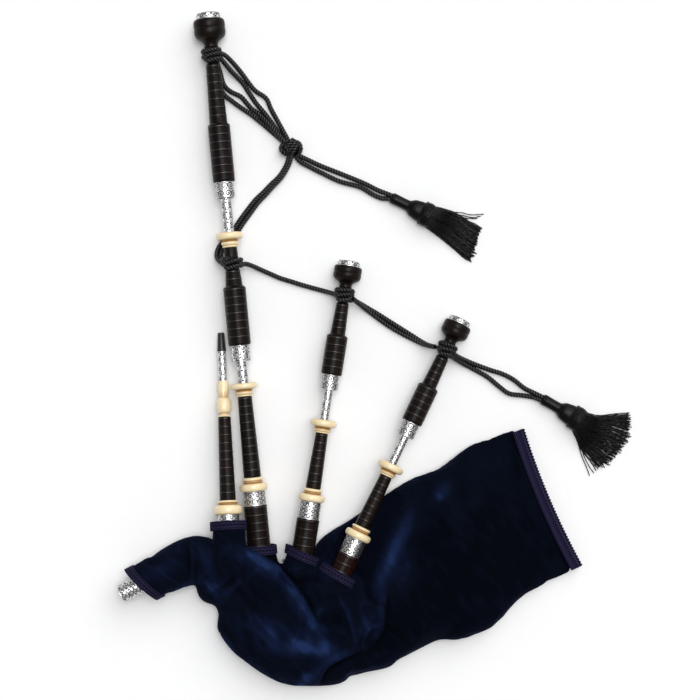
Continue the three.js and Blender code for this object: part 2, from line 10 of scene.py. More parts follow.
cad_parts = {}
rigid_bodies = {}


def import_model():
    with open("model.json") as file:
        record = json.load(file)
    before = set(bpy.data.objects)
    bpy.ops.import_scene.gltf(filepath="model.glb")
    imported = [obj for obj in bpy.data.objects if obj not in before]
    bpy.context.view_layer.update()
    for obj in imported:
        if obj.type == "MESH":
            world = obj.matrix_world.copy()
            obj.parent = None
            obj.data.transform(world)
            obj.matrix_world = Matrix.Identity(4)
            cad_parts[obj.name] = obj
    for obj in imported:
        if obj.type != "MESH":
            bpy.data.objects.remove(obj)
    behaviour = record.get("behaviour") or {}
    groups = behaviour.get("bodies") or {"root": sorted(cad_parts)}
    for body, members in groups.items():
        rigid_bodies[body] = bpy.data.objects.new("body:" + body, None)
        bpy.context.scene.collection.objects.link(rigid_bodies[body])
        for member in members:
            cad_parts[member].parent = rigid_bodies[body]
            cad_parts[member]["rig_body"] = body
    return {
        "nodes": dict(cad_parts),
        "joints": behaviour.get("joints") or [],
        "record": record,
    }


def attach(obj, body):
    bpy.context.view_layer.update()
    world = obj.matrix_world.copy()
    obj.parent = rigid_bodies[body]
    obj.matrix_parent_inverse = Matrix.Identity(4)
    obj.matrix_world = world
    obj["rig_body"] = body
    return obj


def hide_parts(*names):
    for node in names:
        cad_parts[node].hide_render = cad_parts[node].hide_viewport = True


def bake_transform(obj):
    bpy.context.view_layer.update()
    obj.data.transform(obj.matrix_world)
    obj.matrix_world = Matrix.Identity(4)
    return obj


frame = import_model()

MM = 0.001
UP = Vector((0, 0, 1))
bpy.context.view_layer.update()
nodes = frame["nodes"]
joints = {joint["name"]: joint for joint in frame["joints"]}
draw = np.random.default_rng(7)


# ---------------------------------------------------------------- camera, lights and floor

CAMERA_AT = (0.0024, -0.0008, 3.14)
LENS = 100


def make_camera():
    camera = bpy.data.objects.new("camera", bpy.data.cameras.new("camera"))
    camera.data.lens = LENS
    camera.data.sensor_width = 36
    camera.location = CAMERA_AT
    bpy.context.scene.collection.objects.link(camera)
    bpy.context.scene.camera = camera


def far_light(name, toward, spread, power):
    """A distant soft light that shines from a direction. spread is how wide it looks, in degrees."""
    light = bpy.data.objects.new(name, bpy.data.lights.new(name, "SUN"))
    light.data.angle = math.radians(spread)
    light.data.energy = power
    light.rotation_euler = Vector(toward).to_track_quat("Z", "Y").to_euler()
    bpy.context.scene.collection.objects.link(light)


def make_studio():
    scene = bpy.context.scene
    scene.view_settings.view_transform = "Standard"
    world = bpy.data.worlds.new("studio")
    world.use_nodes = True
    world.node_tree.nodes["Background"].inputs["Color"].default_value = (0.97, 0.98, 1, 1)
    world.node_tree.nodes["Background"].inputs["Strength"].default_value = 0.33
    scene.world = world
    far_light("overhead", (0.07, 0.10, 1), 30, 1.45)
    far_light("key", (0.55, 0.75, 1), 55, 1.4)
    bpy.ops.mesh.primitive_plane_add(size=40)
    floor = bpy.context.object
    floor.name = "floor"
    floor.data.materials.append(floor_material())


# ---------------------------------------------------------------- materials

class Finish:
    """A node material round one Principled shader. Its calls add nodes and return their output sockets."""

    def __init__(self, name, **settings):
        self.material = bpy.data.materials.new(name)
        self.material.use_nodes = True
        self.tree = self.material.node_tree
        self.shader = self.tree.nodes["Principled BSDF"]
        for socket, value in settings.items():
            self.set(socket.replace("_", " ").title().replace("Ior", "IOR"), value)

    def set(self, socket, value):
        target = self.shader.inputs[socket]
        if isinstance(value, bpy.types.NodeSocket):
            self.tree.links.new(value, target)
        else:
            target.default_value = value
        return self

    def add(self, kind, inputs=None, **properties):
        node = self.tree.nodes.new(kind)
        for name, value in properties.items():
            setattr(node, name, value)
        for socket, value in (inputs or {}).items():
            if isinstance(value, bpy.types.NodeSocket):
                self.tree.links.new(value, node.inputs[socket])
            else:
                node.inputs[socket].default_value = value
        return node

    def place(self, stretch=(1, 1, 1)):
        coordinates = self.add("ShaderNodeTexCoord").outputs["Object"]
        return self.add("ShaderNodeMapping", {"Vector": coordinates, "Scale": stretch}).outputs["Vector"]

    def noise(self, scale, detail=3.0, stretch=(1, 1, 1), roughness=0.55):
        inputs = {"Vector": self.place(stretch), "Scale": scale, "Detail": detail, "Roughness": roughness}
        return self.add("ShaderNodeTexNoise", inputs).outputs["Fac"]

    def value(self, name):
        return self.add("ShaderNodeAttribute", attribute_name=name).outputs["Fac"]

    def ramp(self, factor, *stops):
        """Colours, or single numbers, along a factor, as (position, value) stops."""
        node = self.add("ShaderNodeValToRGB", {"Fac": factor})
        elements = node.color_ramp.elements
        while len(elements) < len(stops):
            elements.new(0.5)
        for element, (position, value) in zip(elements, stops):
            colour = (value,) * 3 if isinstance(value, (int, float)) else value
            element.position = position
            element.color = (*colour, 1)
        return node.outputs["Color"]

    def mix(self, factor, first, second, blend="MIX"):
        node = self.add("ShaderNodeMix", data_type="RGBA", blend_type=blend)
        for socket, value in ((node.inputs[0], factor), (node.inputs[6], first), (node.inputs[7], second)):
            if isinstance(value, bpy.types.NodeSocket):
                self.tree.links.new(value, socket)
            elif isinstance(value, (int, float)):
                socket.default_value = value
            else:
                socket.default_value = (*value, 1)
        return node.outputs[2]

    def sum(self, first, second, share=1.0):
        """first plus share times second."""
        inputs = {0: second, 1: share, 2: first}
        return self.add("ShaderNodeMath", inputs, operation="MULTIPLY_ADD").outputs[0]

    def relief(self, height, distance, strength=1.0):
        """Bumps the surface by a height socket, up to a distance in metres."""
        inputs = {"Height": height, "Distance": distance, "Strength": strength}
        self.set("Normal", self.add("ShaderNodeBump", inputs).outputs["Normal"])
        return self


def floor_material():
    finish = Finish("floor_paper", roughness=0.85, specular_ior_level=0.1)
    speckle = finish.noise(60, 4)
    finish.set("Base Color", finish.ramp(speckle, (0, (0.90, 0.90, 0.90)), (1, (0.93, 0.93, 0.93))))
    return finish.material


def blackwood_material():
    """African blackwood: nearly black, with brown streaks along the grain and a waxed gloss."""
    finish = Finish("blackwood", roughness=0.33)
    streaks = finish.noise(160, 6, (1, 1, 0.05), 0.65)
    pores = finish.noise(900, 3, (1, 1, 0.03))
    brown = finish.ramp(streaks, (0.38, (0.0036, 0.0027, 0.0024)), (0.6, (0.0105, 0.0062, 0.0046)), (0.8, (0.024, 0.0085, 0.005)))
    finish.set("Base Color", brown)
    finish.set("Specular IOR Level", finish.ramp(finish.value("tone"), (0, 0.13), (1, 0.65)))
    return finish.relief(pores, 0.00025, 0.35).material


def rosewood_material():
    """The same wood where the heart shows: dark red brown."""
    finish = Finish("blackwood_red", roughness=0.33)
    streaks = finish.noise(130, 6, (1, 1, 0.06), 0.65)
    pores = finish.noise(900, 3, (1, 1, 0.03))
    brown = finish.ramp(streaks, (0.34, (0.004, 0.0025, 0.002)), (0.55, (0.015, 0.0048, 0.0032)), (0.8, (0.048, 0.0125, 0.006)))
    finish.set("Base Color", brown)
    finish.set("Specular IOR Level", finish.ramp(finish.value("tone"), (0, 0.13), (1, 0.65)))
    return finish.relief(pores, 0.00025, 0.35).material


def nickel_material():
    """Bright nickel silver. The tone attribute is 1 in the cuts of the engraving, where old polish stays dark."""
    finish = Finish("nickel", metallic=1.0)
    cut = finish.value("tone")
    wear = finish.noise(220, 5)
    worn = finish.ramp(wear, (0.3, (0.96, 0.96, 0.965)), (0.7, (0.86, 0.86, 0.87)))
    finish.set("Base Color", finish.mix(cut, worn, (0.022, 0.021, 0.022)))
    finish.set("Roughness", finish.mix(cut, finish.ramp(wear, (0.3, 0.30), (0.75, 0.40)), (0.5, 0.5, 0.5)))
    scratches = finish.noise(2600, 2, (1, 1, 0.08))
    return finish.relief(scratches, 0.00004, 0.25).material


def ivory_material():
    """Cream imitation ivory with a waxy gloss. The tone attribute paints amber shade into its grooves."""
    finish = Finish("imitation_ivory", subsurface_weight=0.12, subsurface_scale=0.004, coat_weight=0.35, coat_roughness=0.12)
    finish.set("Subsurface Radius", (1.0, 0.7, 0.4))
    bands = finish.noise(90, 4, (1, 1, 0.25))
    cream = finish.ramp(bands, (0.3, (0.90, 0.76, 0.50)), (0.7, (0.86, 0.69, 0.41)))
    # Painted shade: the grooves are mixed towards dark amber by the tone attribute.
    finish.set("Base Color", finish.mix(finish.value("tone"), cream, (0.50, 0.26, 0.075)))
    finish.set("Roughness", finish.ramp(bands, (0.3, 0.26), (0.7, 0.36)))
    return finish.relief(finish.noise(500, 2), 0.0001, 0.2).material


def velvet_material(name="velvet"):
    """Deep blue cotton velvet. A point attribute paints light and shade into its colour: lighter along laps, ridges and
    crease lines and in patches, darker in valleys and patches.
    """
    finish = Finish(name, sheen_weight=0.10, sheen_roughness=0.38, roughness=0.95, specular_ior_level=0.02)
    finish.set("Sheen Tint", (0.09, 0.13, 0.34, 1))
    clouds = finish.noise(16, 4, (1, 1, 1), 0.6)
    wisps = finish.noise(46, 5, (1, 0.4, 1), 0.65)
    # Painted light and shade from the point attribute, with random cloudy and wispy mottle added on top.
    painted_light_and_mottle = finish.sum(finish.sum(finish.value("painted_light_and_mottle"), clouds, 0.24), wisps, 0.26)
    body = finish.ramp(painted_light_and_mottle, (0.22, (0.0013, 0.0021, 0.0046)), (0.45, (0.0026, 0.0043, 0.0112)), (0.72, (0.0056, 0.0105, 0.034)),
                       (1.0, (0.013, 0.027, 0.090)))
    pile = finish.noise(2300, 2)
    finish.set("Base Color", finish.mix(0.35, body, finish.ramp(pile, (0.3, 0.35), (0.7, 1.0)), "MULTIPLY"))
    return finish.relief(pile, 0.0005, 0.5).material


def braid_material():
    """Woven trim: dark purple blue, with the tone attribute on its lighter raised threads."""
    finish = Finish("braid", roughness=0.72, sheen_weight=0.05, sheen_roughness=0.4, specular_ior_level=0.06)
    finish.set("Sheen Tint", (0.4, 0.35, 0.8, 1))
    weave = finish.noise(1300, 2)
    ground = finish.ramp(weave, (0.3, (0.0025, 0.0025, 0.008)), (0.7, (0.006, 0.0055, 0.019)))
    finish.set("Base Color", finish.mix(finish.value("tone"), ground, (0.034, 0.028, 0.080)))
    return finish.relief(weave, 0.0004, 0.5).material


def cord_material():
    """Black silk cord: soft sheen, fine fibres along each ply, a painted highlight on the ply crests and painted shade,
    near black, in the troughs between them.
    """
    finish = Finish("cord", roughness=0.36, specular_ior_level=0.22)
    fibres = finish.noise(1700, 3)
    crest = finish.value("tone")
    # Painted highlight on the ply crests and painted shade in the troughs between plies, by the crest tone.
    painted_highlight = finish.ramp(fibres, (0.45, (0.0014, 0.0014, 0.0017)), (0.9, (0.026, 0.0255, 0.030)))
    finish.set("Base Color", finish.mix(finish.ramp(crest, (0.45, 0), (1, 1)), (0.0008, 0.0008, 0.0009), painted_highlight))
    finish.set("Specular IOR Level", finish.ramp(crest, (0.45, 0.02), (1, 0.6)))
    return finish.relief(fibres, 0.0003, 0.6).material


def satin_material():
    """The wrapped silk of a tassel's head, glossier than its cord."""
    finish = Finish("tassel_silk", roughness=0.30, specular_ior_level=0.16)
    fibres = finish.noise(1500, 3)
    finish.set("Base Color", finish.ramp(fibres, (0.3, (0.0012, 0.0012, 0.0015)), (0.75, (0.0040, 0.0038, 0.0048))))
    return finish.relief(fibres, 0.0002, 0.5).material


def leather_material():
    finish = Finish("leather", roughness=0.68)
    grain = finish.add("ShaderNodeTexVoronoi", {"Vector": finish.place(), "Scale": 420.0}).outputs["Distance"]
    hide = finish.noise(14, 5)
    finish.set("Base Color", finish.ramp(hide, (0.3, (0.23, 0.12, 0.055)), (0.7, (0.33, 0.19, 0.10))))
    return finish.relief(grain, 0.0004, 0.5).material


def cane_material():
    finish = Finish("cane", roughness=0.5)
    fibres = finish.noise(420, 5, (1, 0.06, 1))
    finish.set("Base Color", finish.ramp(fibres, (0.3, (0.52, 0.34, 0.13)), (0.7, (0.71, 0.53, 0.26))))
    return finish.relief(fibres, 0.0002, 0.5).material


def plastic_material():
    finish = Finish("black_plastic", roughness=0.34, specular_ior_level=0.5)
    grain = finish.noise(900, 3)
    finish.set("Base Color", finish.ramp(grain, (0.3, (0.010, 0.010, 0.011)), (0.7, (0.016, 0.016, 0.017))))
    finish.set("Roughness", finish.ramp(grain, (0.3, 0.3), (0.7, 0.42)))
    return finish.relief(grain, 0.0001, 0.3).material


# ---------------------------------------------------------------- meshes

def mesh_piece(name, points, faces, material, matrix=None, crease=None, **values):
    """A smooth shaded mesh from points in millimetres, with float attributes named in values."""
    mesh = bpy.data.meshes.new(name)
    mesh.from_pydata((np.asarray(points, float) * MM).tolist(), [], [list(map(int, face)) for face in faces])
    mesh.shade_smooth()
    if crease:
        mesh.set_sharp_from_angle(angle=math.radians(crease))
    for key, numbers in values.items():
        mesh.attributes.new(key, "FLOAT", "POINT").data.foreach_set("value", np.asarray(numbers, np.float32))
    mesh.materials.append(material)
    piece = bpy.data.objects.new(name, mesh)
    bpy.context.scene.collection.objects.link(piece)
    if matrix is not None:
        piece.matrix_world = matrix
    return piece


def smoothstep(low, high, value):
    t = np.clip((value - low) / (high - low), 0, 1)
    return t * t * (3 - 2 * t)


def ring_faces(rings, sides, closed=False):
    """The quads between rings of points, which stand one after another in the list."""
    count = rings if closed else rings - 1
    first = np.arange(count)[:, None] * sides
    second = (np.arange(1, count + 1)[:, None] % rings) * sides
    here = np.arange(sides)
    following = (here + 1) % sides
    quads = np.stack([first + here, first + following, second + following, second + here], -1)
    return quads.reshape(-1, 4).tolist()


def stand_for(piece, node):
    """The piece takes a CAD node's place and body."""
    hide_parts(node)
    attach(piece, nodes[node]["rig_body"])
    return piece


def smooth_line(points, step, closed=False):
    """Even steps along a smooth curve through the points, in millimetres."""
    points = np.asarray(points, float)
    if closed:
        points = np.vstack([points, points[:1]])
        padded = np.vstack([points[-2], points, points[1]])
    else:
        padded = np.vstack([2 * points[0] - points[1], points, 2 * points[-1] - points[-2]])
    parts = []
    t = np.linspace(0, 1, 24, endpoint=False)[:, None]
    for a, b, c, d in zip(padded, padded[1:], padded[2:], padded[3:]):
        parts.append(0.5 * (2 * b + (c - a) * t + (2 * a - 5 * b + 4 * c - d) * t**2 + (3 * b - a - 3 * c + d) * t**3))
    line = np.vstack([*parts, points[-1:]])
    along = np.concatenate([[0], np.cumsum(np.linalg.norm(np.diff(line, axis=0), axis=1))])
    places = np.linspace(0, along[-1], max(2, round(along[-1] / step)) + 1)
    line = np.stack([np.interp(places, along, line[:, k]) for k in range(line.shape[1])], 1)
    return line[:-1] if closed else line


def line_length(line):
    return float(np.linalg.norm(np.diff(line, axis=0), axis=1).sum())


def frames_along(line):
    """Two directions square to the line at each of its points, turning as little as they can."""
    heading = np.gradient(line, axis=0)
    heading /= np.linalg.norm(heading, axis=1)[:, None]
    start = np.array([0.0, 0.0, 1.0]) if abs(heading[0][2]) < 0.9 else np.array([1.0, 0.0, 0.0])
    across = np.cross(heading[0], start)
    sides = []
    for direction in heading:
        across = across - direction * (across @ direction)
        across /= np.linalg.norm(across)
        sides.append(across)
    sides = np.array(sides)
    return sides, np.cross(heading, sides)


def tube(line, radius, sides):
    """The points and faces of a closed round tube along a line. radius is one number or one for each point."""
    side, other = frames_along(line)
    angle = np.arange(sides) * 2 * math.pi / sides
    radius = np.broadcast_to(np.asarray(radius, float), len(line))[:, None, None]
    ring = np.cos(angle)[None, :, None] * other[:, None] + np.sin(angle)[None, :, None] * side[:, None]
    points = (line[:, None] + radius * ring).reshape(-1, 3)
    ends = [list(range(sides))[::-1], list(range(len(points) - sides, len(points)))]
    faces = [[b, a, d, c] for a, b, c, d in ring_faces(len(line), sides)]
    return points, faces + [end[::-1] for end in ends]


def joined(parts):
    """Several (points, faces, tone) parts as one. A part may leave its tone out."""
    points, faces, tones = [], [], []
    base = 0
    for part in parts:
        points.append(part[0])
        faces += [[index + base for index in face] for face in part[1]]
        tones.append(part[2] if len(part) > 2 else np.zeros(len(part[0])))
        base += len(part[0])
    return np.vstack(points), faces, np.concatenate(tones)


def twisted(line, radius, plies, pitch, sides, start=0.0):
    """Plies laid round each other along a line, toned 1 on their crests, where the cord's colour paints a highlight.
    start is how far along the lay begins.
    """
    side, other = frames_along(line)
    along = start + np.concatenate([[0], np.cumsum(np.linalg.norm(np.diff(line, axis=0), axis=1))])
    offset = radius * (0.5 if plies == 2 else 0.55)
    parts = []
    for ply in range(plies):
        turn = (2 * math.pi * (along / pitch + ply / plies))[:, None]
        points, faces = tube(line + offset * (np.cos(turn) * side + np.sin(turn) * other), radius - offset, sides)
        reach = np.linalg.norm(points.reshape(len(line), sides, 3) - line[:, None], axis=2).ravel() / radius
        parts.append((points, faces, smoothstep(0.62, 0.98, reach)))
    return joined(parts)


# ---------------------------------------------------------------- pipes and their turned pieces

class Pipe:
    """A straight pipe's axis. Stations run along it from its seat, in millimetres."""

    def __init__(self, seat, along):
        self.seat = Vector(seat) / MM
        self.along = Vector(along).normalized()
        self.side = UP.cross(self.along).normalized()
        self.top = self.along.cross(self.side)

    def matrix(self):
        turn = Matrix((self.side, self.top, self.along)).transposed().to_4x4()
        return Matrix.Translation(self.seat * MM) @ turn

    def point(self, station, side=0.0, top=0.0):
        return self.seat + self.along * station + self.side * side + self.top * top

    def local(self, points):
        """Row frame points in millimetres as (side, top, station)."""
        shifted = np.asarray(points, float) - np.array(self.seat)
        return shifted @ np.array([self.side, self.top, self.along]).T


def node_points(node):
    return np.array([vertex.co for vertex in nodes[node].data.vertices], float) / MM


def pipe_of(joint):
    return Pipe(joints[joint]["pos_m"], joints[joint]["axis"])


def chanter_pipe():
    mouth = next(mount for mount in frame["record"]["mounts"] if mount["name"] == "chanter_stock_end")
    centre = node_points("chanter_stock").mean(axis=0)
    along = Vector(mouth["axis"])
    end = Vector(mouth["pos_m"]) / MM
    reach = (end - Vector(centre)).dot(along)
    return Pipe((Vector(centre) + along * (reach - CHANTER_END)) * MM, along)


CHANTER_END = 22.7
pipes = {
    "bass": pipe_of("bass_bottom_turn"),
    "tenor_1": pipe_of("tenor_1_bottom_turn"),
    "tenor_2": pipe_of("tenor_2_bottom_turn"),
    "blowpipe": pipe_of("blowpipe_turn"),
    "chanter": chanter_pipe(),
}


def outlines(node, pipe):
    """A turned CAD node's outer and inner outlines, as (station, radius) points, read from its edges."""
    local = pipe.local(node_points(node))
    places = np.stack([local[:, 2], np.hypot(local[:, 0], local[:, 1])], 1)
    segments = set()
    for edge in nodes[node].data.edges:
        a, b = sorted(tuple(np.round(places[k], 1)) for k in edge.vertices)
        if b[0] - a[0] > 0.25:
            segments.add((a, b))
    stations = []
    for station in sorted({end[0] for segment in segments for end in segment}):
        if not stations or station - stations[-1] > 0.25:
            stations.append(station)
    outer, inner = [], []
    for start, end in zip(stations, stations[1:]):
        covering = []
        for (s0, r0), (s1, r1) in segments:
            if s0 <= start + 0.26 and s1 >= end - 0.26:
                slope = (r1 - r0) / (s1 - s0)
                covering.append((r0 + slope * (start - s0), r0 + slope * (end - s0)))
        low, high = min(covering, key=sum), max(covering, key=sum)
        outer += [(start, high[0]), (end, high[1])]
        inner += [(start, low[0]), (end, low[1])]
    return straightened(thinned(outer)), straightened(thinned(inner))


def straightened(points):
    """Drops the points that lie on the line between their neighbours, so that each straight is one stretch."""
    kept = [points[0]]
    for point, after in zip(points[1:], points[2:]):
        start, here, end = (np.array(p, float) for p in (kept[-1], point, after))
        run = end - start
        off = abs(run[0] * (here - start)[1] - run[1] * (here - start)[0]) / np.linalg.norm(run)
        if off > 0.12:
            kept.append(point)
    return [*kept, points[-1]]


def thinned(points):
    kept = [points[0]]
    for point in points[1:]:
        if math.dist(point[:2], kept[-1][:2]) > 0.15:
            kept.append(point)
    return kept


def filleted(points, size, steps=4):
    """Rounds each corner of an outline by up to size."""
    rounded = [points[0]]
    for before, corner, after in zip(points, points[1:], points[2:]):
        a, b, c = (np.array(p, float) for p in (before, corner, after))
        reach_in, reach_out = np.linalg.norm(b - a), np.linalg.norm(c - b)
        cut = min(size, 0.48 * reach_in, 0.48 * reach_out)
        start, end = b + (a - b) / reach_in * cut, b + (c - b) / reach_out * cut
        for t in np.linspace(0, 1, steps):
            rounded.append(tuple((1 - t) ** 2 * start + 2 * t * (1 - t) * b + t**2 * end))
    return rounded + [points[-1]]


def turned_mesh(pipe, outer, inner, sides, cut=None):
    """A turned ring's points, faces and tone. cut(station, angle) gives (depth, tone) on its outer outline."""
    loop = np.array([point[:2] for point in [*outer, *inner[::-1]]], float)
    angle = (np.arange(sides) + 0.5) * 2 * math.pi / sides
    radius = np.repeat(loop[:, 1:], sides, axis=1)
    tone = np.zeros_like(radius)
    for row, point in enumerate(outer):
        tone[row] = point[2] if len(point) > 2 else 0
    if cut:
        depth, tone_cut = cut(loop[: len(outer), :1], angle[None, :])
        radius[: len(outer)] -= depth
        tone[: len(outer)] = tone_cut
    points = np.stack([radius * np.cos(angle), radius * np.sin(angle), np.repeat(loop[:, :1], sides, axis=1)], -1)
    return points.reshape(-1, 3), ring_faces(len(loop), sides, closed=True), tone.ravel()


def turned(node, pipe, material, outer, inner, sides=48, crease=38, cut=None):
    """A fine turned piece that stands for a CAD node."""
    points, faces, tone = turned_mesh(pipe, outer, inner, sides, cut)
    piece = mesh_piece("turned_" + node, points, faces, material, pipe.matrix(), crease, tone=tone)
    return stand_for(piece, node)


# Combing: the turner's bands, each a flat with fine cuts that ends in a raised bead between two grooves.
BAND = 12.6
BEAD_WIDTH = 2.6
BEAD_HEIGHT = 0.42
GROOVE = 0.55
COMB_CUT = 0.2
COMB_PITCH = 1.5
COMBED_LENGTH = 20


def combed(start, end):
    """The outline of a combed stretch between two (station, radius) points."""
    (s0, r0), (s1, r1) = start, end
    bands = max(1, round((s1 - s0) / BAND))
    width = (s1 - s0) / bands
    points = []

    def put(station, rise, shine=0.0):
        points.append((station, r0 + (r1 - r0) * (station - s0) / (s1 - s0) + rise, shine))

    for band in range(bands):
        base = s0 + band * width
        bead = base + width - BEAD_WIDTH - GROOVE
        cuts = int((bead - base - 1.2) / COMB_PITCH)
        for k in range(cuts):
            middle = base + 0.9 + (k + 0.5) * COMB_PITCH
            for step, rise in ((-0.35, 0), (-0.1, -COMB_CUT), (0.1, -COMB_CUT), (0.35, 0)):
                put(middle + step, rise)
        put(bead - GROOVE, 0)
        put(bead - 0.1, -GROOVE)
        for k in range(9):
            crest = min(1.0, 1.9 * math.sin(math.pi * k / 8) ** 2)
            put(bead + BEAD_WIDTH * k / 8, BEAD_HEIGHT * crest, float(crest > 0.9))
        put(bead + BEAD_WIDTH + 0.1, -GROOVE)
        put(base + width - 0.05, 0)
    return points


def wooden(node, pipe, material, plain=(), reshape=None):
    """A turned wooden piece: combed, apart from the (start, end) stretches named as plain."""
    outer, inner = outlines(node, pipe)
    if reshape:
        outer = reshape(outer)
    rounded = filleted(outer, 0.7, 3)
    detailed = [rounded[0]]
    for a, b in zip(rounded, rounded[1:]):
        is_plain = any(low <= a[0] and b[0] <= high for low, high in plain)
        if b[0] - a[0] > COMBED_LENGTH and not is_plain:
            detailed += combed(a, b)
        detailed.append(b)
    return turned(node, pipe, material, thinned(detailed), inner)


# The bell as shares of its length and of its radius: a hollow neck, a bowl, a ringed drum and an eased shoulder.
BELL = (
    (-0.10, 0.43), (0.0, 0.49), (0.06, 0.58), (0.12, 0.71), (0.19, 0.85), (0.27, 0.94), (0.36, 0.985), (0.44, 1.0),
    (0.58, 1.0), (0.595, 0.965), (0.625, 0.965), (0.64, 1.0), (0.86, 1.0), (0.93, 0.975), (0.98, 0.93), (1.0, 0.88),
)


def belled(start, end, radius):
    """Swaps the end of a top joint's outline for the bell's full shape."""
    length = end - start

    def reshape(outer):
        stem = [point for point in outer if point[0] < start - 0.12 * length]
        return stem + [(start + share * length, part * radius) for share, part in BELL]

    return reshape


def mount_outline(outer):
    """A projecting mount's outline: a thick disc with a full round edge, and a bead and a thin ring beside it."""
    radius = max(point[1] for point in outer)
    disc = [station for station, r in outer if r > 0.86 * radius]
    start, end = disc[0], disc[-1]
    if end - start > 0.75 * (outer[-1][0] - outer[0][0]):
        return filleted(outer, 4.6, 7)
    before = [point for point in outer if point[0] < start - 0.1]
    after = [point for point in outer if point[0] > end + 0.1]
    edge = []
    for u in -np.cos(np.linspace(0, math.pi, 19)):
        edge.append(((start + end) / 2 + u * (end - start) / 2, radius - 5.2 + 5.2 * (1 - abs(u) ** 2.3) ** 0.43))
    return beads(before) + edge + beads(after)


def beads(outline):
    """A bead that fills two thirds of an outline's length beside the disc, then a groove and a thin ring."""
    if len(outline) < 3:
        return outline
    start, end = outline[0][0], outline[-1][0]
    radius = max(point[1] for point in outline)
    points = []
    for low, high, share in ((0.02, 0.30, 0.94), (0.36, 0.96, 1.0)):
        for u in -np.cos(np.linspace(0, math.pi, 11)):
            station = start + (end - start) * ((low + high) / 2 + u * (high - low) / 2)
            points.append((station, share * radius - 2.2 + 2.2 * math.sqrt(1 - u * u)))
    return points


def groove_painted_shade(outer):
    """A cut that leaves the shape and paints shade into each hollow of an outline, darker by how far it lies below its
    neighbours.
    """
    stations = np.array([point[0] for point in outer])
    radii = np.array([point[1] for point in outer])

    def cut(station, angle):
        tone = []
        for s, r in zip(stations, radii):
            near = np.abs(stations - s) < 4.5
            tone.append(min(1.0, max(0.0, (radii[near].max() - r - 1.2) / 5.5)))
        column = np.array(tone)[:, None] * np.ones_like(angle)
        return np.zeros_like(column), column ** 0.8

    return cut


def ivory(node, pipe):
    outer, inner = outlines(node, pipe)
    outer = mount_outline(outer)
    return turned(node, pipe, looks["ivory"], outer, inner, 64, 60, groove_painted_shade(outer))


# Engraving: round scrolls that turn left and right by turns, with leaves between them, inside plain borders.
ENGRAVE_DEPTH = 0.22
SCROLL = 11
BORDER = 1.6


def engraving(start, end, radius, row=10.0):
    """A cut for turned(): rows of scrolls round a band from one station to another."""
    rows = max(1, round((end - start) / row))
    height = (end - start) / rows
    repeats = 2 * max(2, round(math.pi * radius / SCROLL))
    width = 2 * math.pi * radius / repeats

    def cut(station, angle):
        place = (station - start) / height
        column = angle / (2 * math.pi) * repeats + 0.5 * (np.floor(place) % 2)
        up = (place - np.floor(place) - 0.5) * height
        across = (column - np.floor(column) - 0.5) * width
        hand = np.where(np.floor(column) % 2 > 0, 1.0, -1.0)
        reach = np.hypot(up, across)
        turn = np.arctan2(up, across * hand) / (2 * math.pi)
        winding = reach / 3.4 - turn
        spiral = 1 - smoothstep(0.20, 0.30, np.abs(winding - np.round(winding)))
        spiral = spiral * (1 - smoothstep(0.44 * height, 0.52 * height, reach))
        leaf = smoothstep(0.1, 0.5, np.sin(5 * turn * 2 * math.pi) * np.cos(1.1 * reach))
        leaf = leaf * smoothstep(0.44 * height, 0.52 * height, reach)
        gap = np.minimum(station - start, end - station)
        rim = 1 - smoothstep(0.15, 0.4, np.abs(gap - BORDER + 0.5))
        depth = np.maximum(np.maximum(spiral, leaf) * smoothstep(BORDER - 0.4, BORDER, gap), rim)
        return ENGRAVE_DEPTH * depth, np.clip(depth * 1.1, 0, 1)

    return cut


def metal(node, pipe, row=10.0, step=0.55, sides=132, reshape=None):
    """An engraved nickel ring or tube."""
    outer, inner = outlines(node, pipe)
    if reshape:
        outer, inner = reshape(outer), reshape(inner)
    start, end = outer[0][0], outer[-1][0]
    radius = max(point[1] for point in outer)
    rounded = filleted(outer, 0.5, 3) if len(outer) > 2 else outer
    fine = [rounded[0]]
    for a, b in zip(rounded, rounded[1:]):
        for t in np.linspace(0, 1, max(1, round((b[0] - a[0]) / step)) + 1)[1:]:
            fine.append((a[0] + (b[0] - a[0]) * t, a[1] + (b[1] - a[1]) * t))
    return turned(node, pipe, looks["nickel"], fine, inner, sides, 50, engraving(start, end, radius, row))


def make_drone(name):
    pipe = pipes[name]
    wood, red = looks["blackwood"], looks["rosewood"]
    wooden(name + "_stock", pipe, red if name == "tenor_2" else wood)
    metal(name + "_stock_ferrule", pipe)
    ivory(name + "_lower_mount", pipe)
    wooden(name + "_bottom_joint", pipe, wood, plain=((40, 102),))
    ivory(name + "_upper_mount", pipe)
    metal(name + "_lower_slide", pipe, 8, 0.7, 84)
    if name == "bass":
        metal("bass_middle_ferrule", pipe)
        wooden("bass_middle_joint", pipe, wood)
        ivory("bass_middle_mount", pipe)
        metal("bass_upper_slide", pipe, 8, 0.7, 84)
    metal(name + "_top_ferrule", pipe)
    bell = (800, 836.7, 25.3) if name == "bass" else (431, 458.5, 22.5)
    wooden(name + "_top_joint", pipe, wood, reshape=belled(*bell))
    metal(name + "_ring_cap", pipe, 9)
    nodes[name + "_reed"].data.materials.clear()
    nodes[name + "_reed"].data.materials.append(looks["cane"])


def make_blowpipe():
    pipe = pipes["blowpipe"]
    wooden("blowpipe_stock", pipe, looks["blackwood"])
    metal("blowpipe_stock_ferrule", pipe)
    ivory("blowpipe_lower_mount", pipe)
    wooden("blowpipe_stem", pipe, looks["blackwood"], plain=((-40, 31),))
    ivory("blowpipe_bulb_mount", pipe)
    metal("mouthpiece_sleeve", pipe, 8)
    outer, inner = outlines("mouthpiece", pipe)
    turned("mouthpiece", pipe, looks["plastic"], filleted(outer, 1.6, 5), inner, 40, 50)
    nodes["blowpipe_valve_flap"].data.materials.clear()
    nodes["blowpipe_valve_flap"].data.materials.append(looks["leather"])


